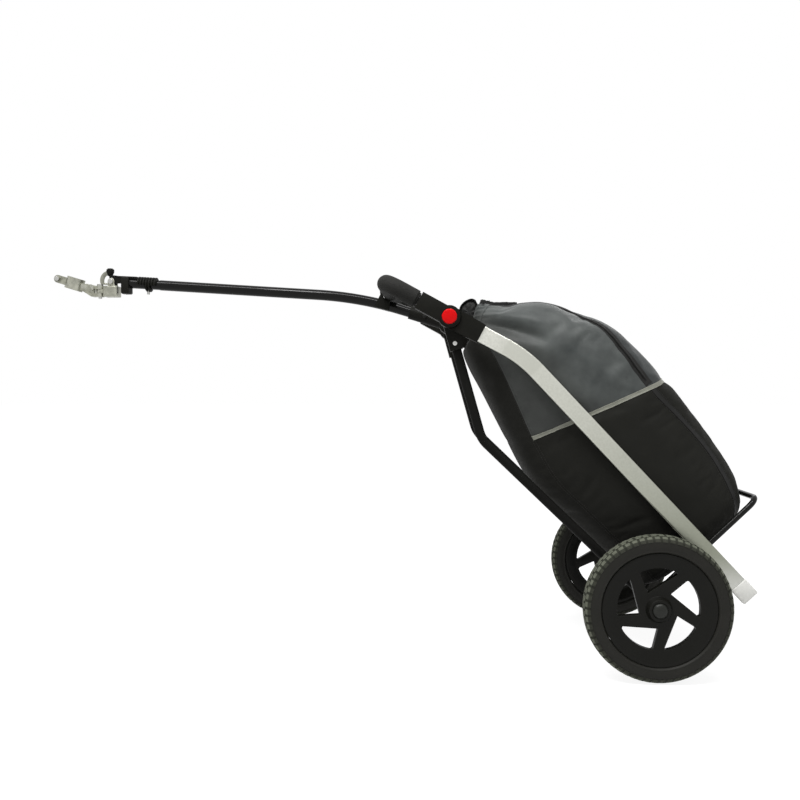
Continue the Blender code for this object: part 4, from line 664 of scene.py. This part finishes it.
grey_cloth = cloth(
    "grey coated cloth", (0.028, 0.0325, 0.0315), (0.082, 0.09, 0.086), (0.42, 0.56), 0.0008,
    0.00012, 0.1, 0.3, 0.07)
black_cloth = cloth(
    "black cloth", (0.013, 0.013, 0.0112), (0.0185, 0.0185, 0.0162), (0.62, 0.78), 0.0009,
    0.00014, 0.0, 0.06, 0.12)
# Painted shade: the front panel is the grey cloth made darker, for the panel that faces away from
# the light.
shaded_front_cloth = cloth(
    "grey cloth in painted shade", (0.018, 0.0205, 0.0205), (0.045, 0.05, 0.05), (0.46, 0.6), 0.0008, 0.00012,
    0.05, 0.2, 0.05)
# Sections from the neck to the base: back and crown points as distance along the side bars and
# offset above them, half width, then where the front seam and the back panel's seam cross it,
# as shares from the back (-1) to the crown (1).
bag_sections = [
    ((0.060, 0.016), (0.0126, 0.0800), 0.050, 0.930, -0.60),
    ((0.066, -0.014), (0.0567, 0.1158), 0.105, 0.975, -0.42),
    ((0.105, -0.032), (0.1125, 0.1765), 0.145, 0.985, -0.50),
    ((0.165, -0.048), (0.1872, 0.2134), 0.163, 0.955, -0.62),
    ((0.225, -0.0655), (0.2572, 0.2432), 0.163, 0.855, -0.70),
    ((0.287, -0.0830), (0.404, 0.2495), 0.163, 0.740, -0.761),
    ((0.385, -0.1070), (0.478, 0.2430), 0.163, 0.800, -0.765),
    ((0.480, -0.1020), (0.563, 0.2325), 0.163, 0.840, -0.770),
    ((0.570, -0.0960), (0.630, 0.2200), 0.163, 0.825, -0.775),
    ((0.640, -0.0900), (0.676, 0.2060), 0.163, 0.780, -0.780),
    ((0.6894, -0.0896), (0.700, 0.1885), 0.157, 0.740, -0.780),
    ((0.6990, -0.0640), (0.7075, 0.1650), 0.143, 0.720, -0.780),
]
above_bars = Vector((-main_way.z, 0, main_way.x))
# Painted shade: the grey cloth is darkened close above the side bars, along their long run and
# along their upper bend under the neck, where the bars and the folds shade it.
tree = grey_cloth.node_tree
place = add_node(tree, "TexCoord").outputs["Object"]
bar_shade_masks = []
for way, unshaded_from, fully_shaded_from in ((above_bars, 0.124, 0.062),
                                    (Vector((0.418, 0, 0.909)), 0.06, 0.028)):
    height = add_node(tree, "VectorMath", {0: place, 1: way}, operation="DOT_PRODUCT")
    level = pivot.dot(way)
    bar_shade_masks.append(soft_step(tree, height.outputs["Value"], level + unshaded_from, level + fully_shaded_from,
                           top=0.6))
painted_bar_shade = add_math(tree, "MINIMUM", *bar_shade_masks)
shaded_cloth_colour = mix_colour(tree, painted_bar_shade, tree.nodes["Mix"].outputs["Result"],
                   (0.017, 0.0175, 0.0145, 1))
tree.links.new(shaded_cloth_colour, tree.nodes["Principled BSDF"].inputs["Base Color"])


def through(values, spot):
    """Value at a place along a list, on a smooth curve through its entries."""
    low = min(int(spot), len(values) - 2)
    t = spot - low
    a, b = values[max(low - 1, 0)], values[low]
    c, d = values[low + 1], values[min(low + 2, len(values) - 1)]
    return 0.5 * (2 * b + (c - a) * t + (2 * a - 5 * b + 4 * c - d) * t * t
                  + (3 * b - a - 3 * c + d) * t ** 3)


def run_length(points):
    """How long a line of points is."""
    return sum((second - first).length for first, second in zip(points, points[1:]))


def evenly(points, count):
    """A line of points spread again at equal steps."""
    marks = [0.0]
    for first, second in zip(points, points[1:]):
        marks.append(marks[-1] + (second - first).length)
    spread, at = [], 0
    for i in range(count + 1):
        goal = marks[-1] * i / count
        while at < len(marks) - 2 and marks[at + 1] < goal:
            at += 1
        share = (goal - marks[at]) / max(marks[at + 1] - marks[at], 1e-9)
        spread.append(points[at].lerp(points[at + 1], min(max(share, 0), 1)))
    return spread


backs, crowns = ([pivot + main_way * section[i][0] + above_bars * section[i][1]
                  for section in bag_sections] for i in (0, 1))
back_count, side_count, front_count = 14, 30, 14
seam_column = back_count + side_count
half_count = seam_column + front_count


def bag_half_ring(spot):
    """Near half of the bag's section, from the middle of its back to its crown."""
    back, crown = through(backs, spot), through(crowns, spot)
    half_width, seam, panel = (through([s[i] for s in bag_sections], spot) for i in (2, 3, 4))
    middle, half = (back + crown) / 2, (crown - back) / 2

    def rounded_square(angle):
        """A point of the section's outline, between an ellipse and a rectangle."""
        u = math.copysign(abs(math.cos(angle)) ** 0.5, math.cos(angle))
        return middle + half * u - Vector((0, half_width * abs(math.sin(angle)) ** 0.5, 0))

    turn_panel, turn_seam = math.pi - math.acos(panel ** 2), math.acos(seam ** 2)
    runs = []
    for start, stop, count in ((math.pi, turn_panel, back_count),
                               (turn_panel, turn_seam, side_count)):
        runs += evenly([rounded_square(start + (stop - start) * i / 60) for i in range(61)],
                       count)[:-1]
    corner = rounded_square(turn_seam)
    arch = []
    for i in range(61):
        a = math.pi / 2 * i / 60
        u = seam + (1 - seam) * math.sin(a) ** 0.75
        arch.append(middle + half * u + Vector((0, corner.y * math.cos(a), 0)))
    return runs + evenly(arch, front_count)


section_rows = [5, 7, 9, 11, 12, 13, 15, 14, 12, 9, 6]
row_spots = [0.0]
for section, count in enumerate(section_rows):
    row_spots += [section + (i + 1) / count for i in range(count)]
stripe_row = sum(section_rows[:5])
rows, columns = len(row_spots) - 1, 2 * half_count
half_rings = [bag_half_ring(spot) for spot in row_spots]
folds = [
    ((0.925, -0.078), (1.080, -0.108), 0.0070, 0.012),
    ((0.925, -0.100), (1.062, -0.142), -0.0150, 0.013),
    ((0.952, -0.135), (1.146, -0.226), -0.0030, 0.015),
    ((1.002, -0.099), (1.172, -0.156), 0.0028, 0.014),
    ((1.088, -0.146), (1.230, -0.238), 0.0034, 0.016),
    ((1.122, -0.126), (1.256, -0.210), -0.0028, 0.013),
    ((1.188, -0.232), (1.248, -0.184), 0.0034, 0.011),
    ((0.994, -0.232), (1.044, -0.310), 0.0024, 0.011),
    ((0.982, -0.198), (1.090, -0.286), -0.0026, 0.014),
    ((1.110, -0.250), (1.180, -0.285), 0.0022, 0.012),
    ((1.073, -0.370), (1.150, -0.500), 0.0022, 0.016),
    ((1.110, -0.350), (1.230, -0.520), -0.0018, 0.022),
    ((1.270, -0.290), (1.345, -0.452), 0.0022, 0.020),
    ((1.160, -0.330), (1.330, -0.560), 0.0018, 0.024)]


def fold_lift(place):
    """How far the cloth stands out at a side-view place, from its folds."""
    lift = 0.0
    for (x0, z0), (x1, z1), height, width in folds:
        run = Vector((x1 - x0, 0, z1 - z0))
        share = min(max((place - Vector((x0, place.y, z0))).dot(run) / run.length_squared, 0), 1)
        away = (place - Vector((x0, place.y, z0)) - run * share).length
        lift += height * math.exp(-(away / width) ** 2) * math.sin(math.pi * (0.12 + 0.76 * share))
    return lift


def cloth_grid(name, along, across, length, width):
    """A grid for a piece of cloth, with a UV map that measures it in metres."""
    bpy.ops.mesh.primitive_grid_add(x_subdivisions=along, y_subdivisions=across, size=1)
    piece = added(name)
    piece.data.uv_layers[0].name = "cloth"
    for loop in piece.data.uv_layers["cloth"].data:
        loop.uv = (loop.uv[0] * length, loop.uv[1] * width)
    return piece


bag = cloth_grid("bag_shell", rows, columns, 0.72, 0.98)
for face in bag.data.polygons:
    row = int((face.center.x + 0.5) * rows)
    column = int((face.center.y + 0.5) * columns)
    near_column = column if column < half_count else columns - 1 - column
    if row < stripe_row and near_column >= back_count:
        face.material_index = 0 if near_column < seam_column else 2
    else:
        face.material_index = 1
gathered_to, pleat_depth, cap_from = 3.2, 0.0015, 9.7
held = bag.vertex_groups.new(name="held")
for vertex in bag.data.vertices:
    row = round((vertex.co.x + 0.5) * rows)
    column = round((vertex.co.y + 0.5) * columns)
    near_column = column if column <= half_count else columns - column
    place, spot = half_rings[row][near_column].copy(), row_spots[row]
    if spot < gathered_to:
        pleat = math.cos(near_column * 1.32 + 0.6 * math.sin(spot * 2.1))
        centre = (half_rings[row][0] + half_rings[row][-1]) / 2
        out_way = (place - centre).normalized()
        place += out_way * pleat_depth * (1 - spot / gathered_to) ** 1.3 * (pleat - 1)
    from_seams = (abs(near_column - back_count), abs(near_column - seam_column),
                  abs(row - stripe_row))
    if 0.05 < spot < 9.6 and back_count < near_column < seam_column:
        place.y -= fold_lift(place) * min(4, *from_seams) / 4
    if column > half_count:
        place.y = -place.y
    vertex.co = place
    if row < 3 or spot > cap_from or 0 in from_seams:
        held.add([vertex.index], 1.0, "REPLACE")
    elif 1 in from_seams:
        held.add([vertex.index], 0.25, "REPLACE")
edit_all(bag, "EDGE")
weld()
# Both open ends close in rings that shrink to a point, and the neck's sinks a little.
for end, drop in ((0, 0.0014), (-1, 0.0)):
    centre = (half_rings[end][0] + half_rings[end][-1]) / 2
    bpy.ops.mesh.select_all(action="DESELECT")
    for edge in bmesh.from_edit_mesh(bag.data).edges:
        if edge.is_boundary and all((v.co - centre).length < 0.25 for v in edge.verts):
            edge.select_set(True)
    for shrink, share in ((0.94, 2.2), (0.88, 1.5), (0.78, 0.9), (0.66, 0.5), (0.5, 0.3)):
        bpy.ops.mesh.extrude_edges_move()
        bpy.ops.transform.resize(value=(shrink, shrink, shrink), center_override=centre)
        bpy.ops.transform.translate(value=(-drop * share, 0, 0))
        centre.x -= drop * share
    bpy.ops.mesh.merge(type="CENTER")
bpy.ops.mesh.select_all(action="SELECT")
bpy.ops.mesh.normals_make_consistent(inside=False)
leave_edit()
for coat in (grey_cloth, black_cloth, shaded_front_cloth):
    bag.data.materials.append(coat)
# The cloth of both ends lies flat, so its weave is mapped straight from its place.
for end, way in ((half_rings[0], -main_way), (half_rings[-1], main_way)):
    for face in bag.data.polygons:
        if face.normal.dot(way) > 0.5 and abs((face.center - end[0]).dot(way)) < 0.05:
            for i in face.loop_indices:
                point = bag.data.vertices[bag.data.loops[i].vertex_index].co
                bag.data.uv_layers["cloth"].data[i].uv = (point.dot(above_bars), point.y)
most_moved, most_backward = 0.007, 0.0012
sewn = [vertex.co.copy() for vertex in bag.data.vertices]
fill = bag.modifiers.new("filling", "CLOTH")
for setting, value in dict(
        quality=6, mass=0.25, tension_stiffness=20, compression_stiffness=12,
        shear_stiffness=6, bending_stiffness=0.4, use_pressure=True,
        uniform_pressure_force=2.6, shrink_min=-0.022, vertex_group_mass="held").items():
    setattr(fill.settings, setting, value)
fill.settings.effector_weights.gravity = 0.0
fill.collision_settings.use_collision = False
for step in range(1, 23):
    bpy.context.scene.frame_set(step)
bpy.ops.object.modifier_apply(modifier=fill.name)
bpy.context.scene.frame_set(1)
for vertex, before in zip(bag.data.vertices, sewn):
    moved = vertex.co - before
    if moved.length > most_moved:
        moved *= most_moved / moved.length
    backward = -moved.dot(above_bars)
    if backward > most_backward:
        moved += above_bars * (backward - most_backward)
    vertex.co = before + moved
finer = bag.modifiers.new("finer cloth", "SUBSURF")
finer.levels = finer.render_levels = 1
bpy.ops.object.modifier_apply(modifier=finer.name)
bpy.ops.object.shade_smooth()
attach(bag, "frame")
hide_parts("bag_upper", "bag_lower")


# Bag seams. A grey reflective tape runs round the front under the grey panels. Black binding with a
# thin piping covers the two front seams, laid wider than the tape so that its outer black is
# painted shadow of the seams' gaps. A hem rounds the neck, and rows of thread hold the back panel,
# the front seams and the tape.
bag_surface = BVHTree.FromPolygons([v.co.copy() for v in bag.data.vertices],
                                   [tuple(face.vertices) for face in bag.data.polygons])


def far_copy(points):
    """The same line on the far side."""
    return [Vector((p.x, -p.y, p.z)) for p in points]


def over_crown(points):
    """A near-side line that ends at the crown, carried on down the far side."""
    return points + far_copy(points)[-2::-1]


def on_bag(point, before, after):
    """A line's point on the bag: its place there, the way out of the cloth and the way across."""
    spot, outward = bag_surface.find_nearest(point)[:2]
    return spot, outward, (after - before).normalized().cross(outward).normalized()


def along_line(piece, line):
    """Each vertex of a cloth grid with its step along a line and its place on the bag there."""
    last = len(line) - 1
    for vertex in piece.data.vertices:
        i = round((vertex.co.x + 0.5) * last)
        yield (vertex, i, *on_bag(line[i], line[max(i - 1, 0)], line[min(i + 1, last)]))


def thicken(piece, thick, offset):
    """A band gets its thickness, outward (1) or to both sides (0), and smooth faces."""
    pick(piece)
    wall = piece.modifiers.new("thickness", "SOLIDIFY")
    wall.thickness = thick
    wall.offset = offset
    bpy.ops.object.modifier_apply(modifier=wall.name)
    smooth_faces(50)


def sew_on(piece, material):
    """A finished extra of the bag takes its material and rides with the frame."""
    piece.data.materials.append(material)
    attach(piece, "frame")


def tape(name, line, half_width, rise, thick, strands, material):
    """A flat tape sewn along a line on the bag's surface."""
    piece = cloth_grid(name, len(line) - 1, strands, run_length(line), half_width * 2)
    for vertex, i, spot, outward, across in along_line(piece, line):
        beside = line[i] + across * half_width * 2 * vertex.co.y
        spot, outward = bag_surface.find_nearest(beside)[:2]
        vertex.co = spot + outward * rise
    piece.data.update()
    face = piece.data.polygons[0]
    if face.normal.dot(bag_surface.find_nearest(face.center)[1]) < 0:
        edit_all(piece)
        bpy.ops.mesh.flip_normals()
        leave_edit()
    thicken(piece, thick, 1)
    sew_on(piece, material)


def piping(name, line, radius):
    """A round cord that lies along a line on the bag's surface and tapers at both ends."""
    cord = cloth_grid(name, len(line) - 1, 10, run_length(line), radius * 6)
    for vertex, i, spot, outward, across in along_line(cord, line):
        turn = 2 * math.pi * vertex.co.y
        share = min(1.0, (i + 0.3) / 3, (len(line) - 1 - i + 0.3) / 3)
        vertex.co = (spot + outward * 0.0016 + across * math.cos(turn) * radius * share
                     + outward * math.sin(turn) * radius * share)
    edit_all(cord)
    close_up(smooth=50)
    sew_on(cord, binding_cloth)


reflective_tape = cloth(
    "reflective tape", (0.15, 0.154, 0.124), (0.225, 0.229, 0.188), (0.34, 0.46), 0.0006, 0.0001,
    0.0, 0.5, 0.02)
binding_cloth = cloth(
    "binding", (0.006, 0.006, 0.0055), (0.011, 0.011, 0.01), (0.5, 0.65), 0.0007, 0.0001, 0.02,
    0.2, 0.03)
near_stripe = half_rings[stripe_row][back_count:]
tape("stripe_tape", evenly(over_crown(near_stripe), 150), 0.0046, 0.0003, 0.0008, 4,
     reflective_tape)
near_seam = evenly([ring[seam_column] for ring in half_rings[1:]], 190)
stripe_end, stripe_gap, piping_from = half_rings[stripe_row][seam_column], 0.0045, 0.13
upper_seam = [p for p in near_seam if (p - stripe_end).dot(main_way) < -stripe_gap]
lower_seam = [p for p in near_seam if (p - stripe_end).dot(main_way) > stripe_gap]
corded = [p for p in upper_seam[:-2] if (p - pivot).dot(main_way) > piping_from]
for side, turn in (("left", list), ("right", far_copy)):
    # The front binding is wider than the real tape; its outer black is painted shadow of the seam's
    # gap.
    tape(f"front_binding_and_seam_shadow_{side}", turn(upper_seam), 0.0092, 0.0001, 0.0005, 4, binding_cloth)
    tape(f"base_binding_{side}", turn(lower_seam), 0.005, 0.0003, 0.0008, 4, binding_cloth)
    piping(f"front_piping_{side}", turn(corded), 0.0022)
tape("neck_hem", evenly(over_crown(half_rings[2]), 110), 0.005, 0.0002, 0.0007, 3, grey_cloth)

thread = finish(
    "sewing thread", (0.02, 0.02, 0.019), (0.04, 0.04, 0.038), (0.5, 0.6), grain=0.0005,
    gloss=0.3)
bpy.ops.mesh.primitive_uv_sphere_add(segments=6, ring_count=4)
one_stitch = bpy.context.object
stitch_points = [v.co.copy() for v in one_stitch.data.vertices]
stitch_faces = [tuple(face.vertices) for face in one_stitch.data.polygons]
bpy.data.objects.remove(one_stitch)
stitch_half, thread_radius = 0.0015, 0.00035


def stitching(name, lines, material, spacing=0.0042, rise=0.0002):
    """Rows of short stitches that lie along lines on the bag's surface."""
    points, faces = [], []
    for line in lines:
        spots = evenly(line, max(2, round(run_length(line) / spacing)))
        for before, after in zip(spots, spots[1:]):
            spot, outward, across = on_bag((before + after) / 2, before, after)
            ahead = (after - before).normalized()
            first = len(points)
            for p in stitch_points:
                points.append(spot + outward * rise + ahead * p.x * stitch_half
                              + across * p.y * thread_radius + outward * p.z * thread_radius)
            faces += [tuple(first + i for i in face) for face in stitch_faces]
    mesh = bpy.data.meshes.new(name)
    mesh.from_pydata(points, [], faces)
    piece = bpy.data.objects.new(name, mesh)
    bpy.context.scene.collection.objects.link(piece)
    pick(piece)
    bpy.ops.object.shade_smooth()
    sew_on(piece, material)


def beside_seam(column, offset):
    """Near-side points a few millimetres to one side of a seam's column, below the neck."""
    return [ring[column] + (ring[column + 1] - ring[column - 1]).normalized() * offset
            for ring in half_rings[2:]]


seam_rows = [beside_seam(column, offset) for column, offset in (
    (back_count, 0.003), (back_count, -0.003), (seam_column, 0.0075), (seam_column, -0.0075))]
stitching("panel_stitches", [line for near in seam_rows for line in (near, far_copy(near))],
          thread)
light_thread = finish(
    "light thread", (0.42, 0.42, 0.35), (0.5, 0.5, 0.43), (0.5, 0.6), grain=0.0005,
    gloss=0.3)
tape_rows = [over_crown([p + main_way * offset for p in near_stripe])
             for offset in (-0.004, 0.004)]
stitching("tape_stitches", tape_rows, light_thread, 0.0034, 0.0013)


# Webbing on the bag. A black strap, laid in several close layers, lies on the crown of the neck.
# A wide loop of the same webbing, gathered inside, goes round the frame's hanging rod.
def webbing(name, path, half_width, thick, node, wave=0.0):
    """A band of webbing along a side-view path, as wide as the real tape."""
    piece = cloth_grid(name, len(path) - 1, 10, run_length(path), half_width * 2)
    for vertex in piece.data.vertices:
        i = round((vertex.co.x + 0.5) * (len(path) - 1))
        ripple = wave * noise.noise(Vector((i * 0.45, vertex.co.y * 2.2, 3.1)))
        vertex.co = path[i] + Vector((ripple * 0.4, vertex.co.y * 2 * half_width, ripple))
    edit_all(piece)
    weld()
    leave_edit()
    thicken(piece, thick, 0)
    place_piece(piece, node, strap_cloth)


def smooth_path(corners, steps):
    """A smooth side-view line through given corners."""
    points = [Vector((x, 0, z)) for x, z in corners]
    return [through(points, (len(points) - 1) * i / steps) for i in range(steps + 1)]


strap_cloth = cloth(
    "black webbing", (0.0065, 0.0065, 0.006), (0.013, 0.013, 0.012), (0.5, 0.66), 0.0014, 0.0003,
    0.05, 0.25, 0.02)
strap_path = smooth_path((
    (1.0225, -0.054), (1.006, -0.0556), (0.992, -0.0556), (0.975, -0.0552), (0.957, -0.0538),
    (0.942, -0.0512), (0.9375, -0.0498), (0.9425, -0.0488), (0.957, -0.0514), (0.976, -0.0529),
    (0.992, -0.0532), (1.006, -0.0532), (1.016, -0.0522), (1.0185, -0.0512), (1.013, -0.0504),
    (1.004, -0.0507), (0.993, -0.05), (0.978, -0.0506), (0.958, -0.049), (0.943, -0.0464),
    (0.939, -0.0452), (0.9435, -0.0442), (0.954, -0.047), (0.959, -0.0466)), 180)
webbing("bag_strap_piece", strap_path, 0.0145, 0.0025, "bag_strap", wave=0.001)
loop_path = smooth_path((
    (0.898, -0.099), (0.8972, -0.092), (0.8935, -0.08), (0.8915, -0.068), (0.8932, -0.059),
    (0.9003, -0.0502), (0.909, -0.0447), (0.918, -0.0422), (0.9253, -0.0447), (0.928, -0.049),
    (0.9325, -0.058), (0.9338, -0.07), (0.933, -0.083), (0.9245, -0.093), (0.9112, -0.1),
    (0.9092, -0.1035), (0.905, -0.1052), (0.9006, -0.1042), (0.898, -0.099)), 72)
webbing("bag_hang_loop_piece", loop_path, 0.0195, 0.0018, "bag_hang_loop")
bpy.ops.mesh.primitive_uv_sphere_add(segments=56, ring_count=28, rotation=(math.radians(90), 0, 0))
gathered = added("hang_loop_gathers")
bpy.ops.object.transform_apply()
gathered.data.uv_layers[0].name = "cloth"
for loop in gathered.data.uv_layers["cloth"].data:
    loop.uv = (loop.uv[0] * 0.12, loop.uv[1] * 0.06)
loop_middle, loop_inset, gather_half = Vector((0.913, 0, -0.072)), 0.0013, 0.0178
loop_edge = evenly(loop_path, 160)
for vertex in gathered.data.vertices:
    way = Vector((vertex.co.x, 0, vertex.co.z))
    ring = way.length
    if ring > 1e-6:
        way /= ring
    reach = max(((p - loop_middle).dot(way) for p in loop_edge
                 if (p - loop_middle).normalized().dot(way) > 0.985), default=0.0)
    pleat = 1 + 0.06 * math.cos(7 * math.atan2(way.z, way.x)) * (1 - ring)
    depth = gather_half * math.copysign(abs(vertex.co.y) ** 0.55, vertex.co.y) * pleat
    vertex.co = loop_middle + way * (reach - loop_inset) * ring ** 0.4 + Vector((0, depth, 0))
bpy.ops.object.shade_smooth()
sew_on(gathered, strap_cloth)
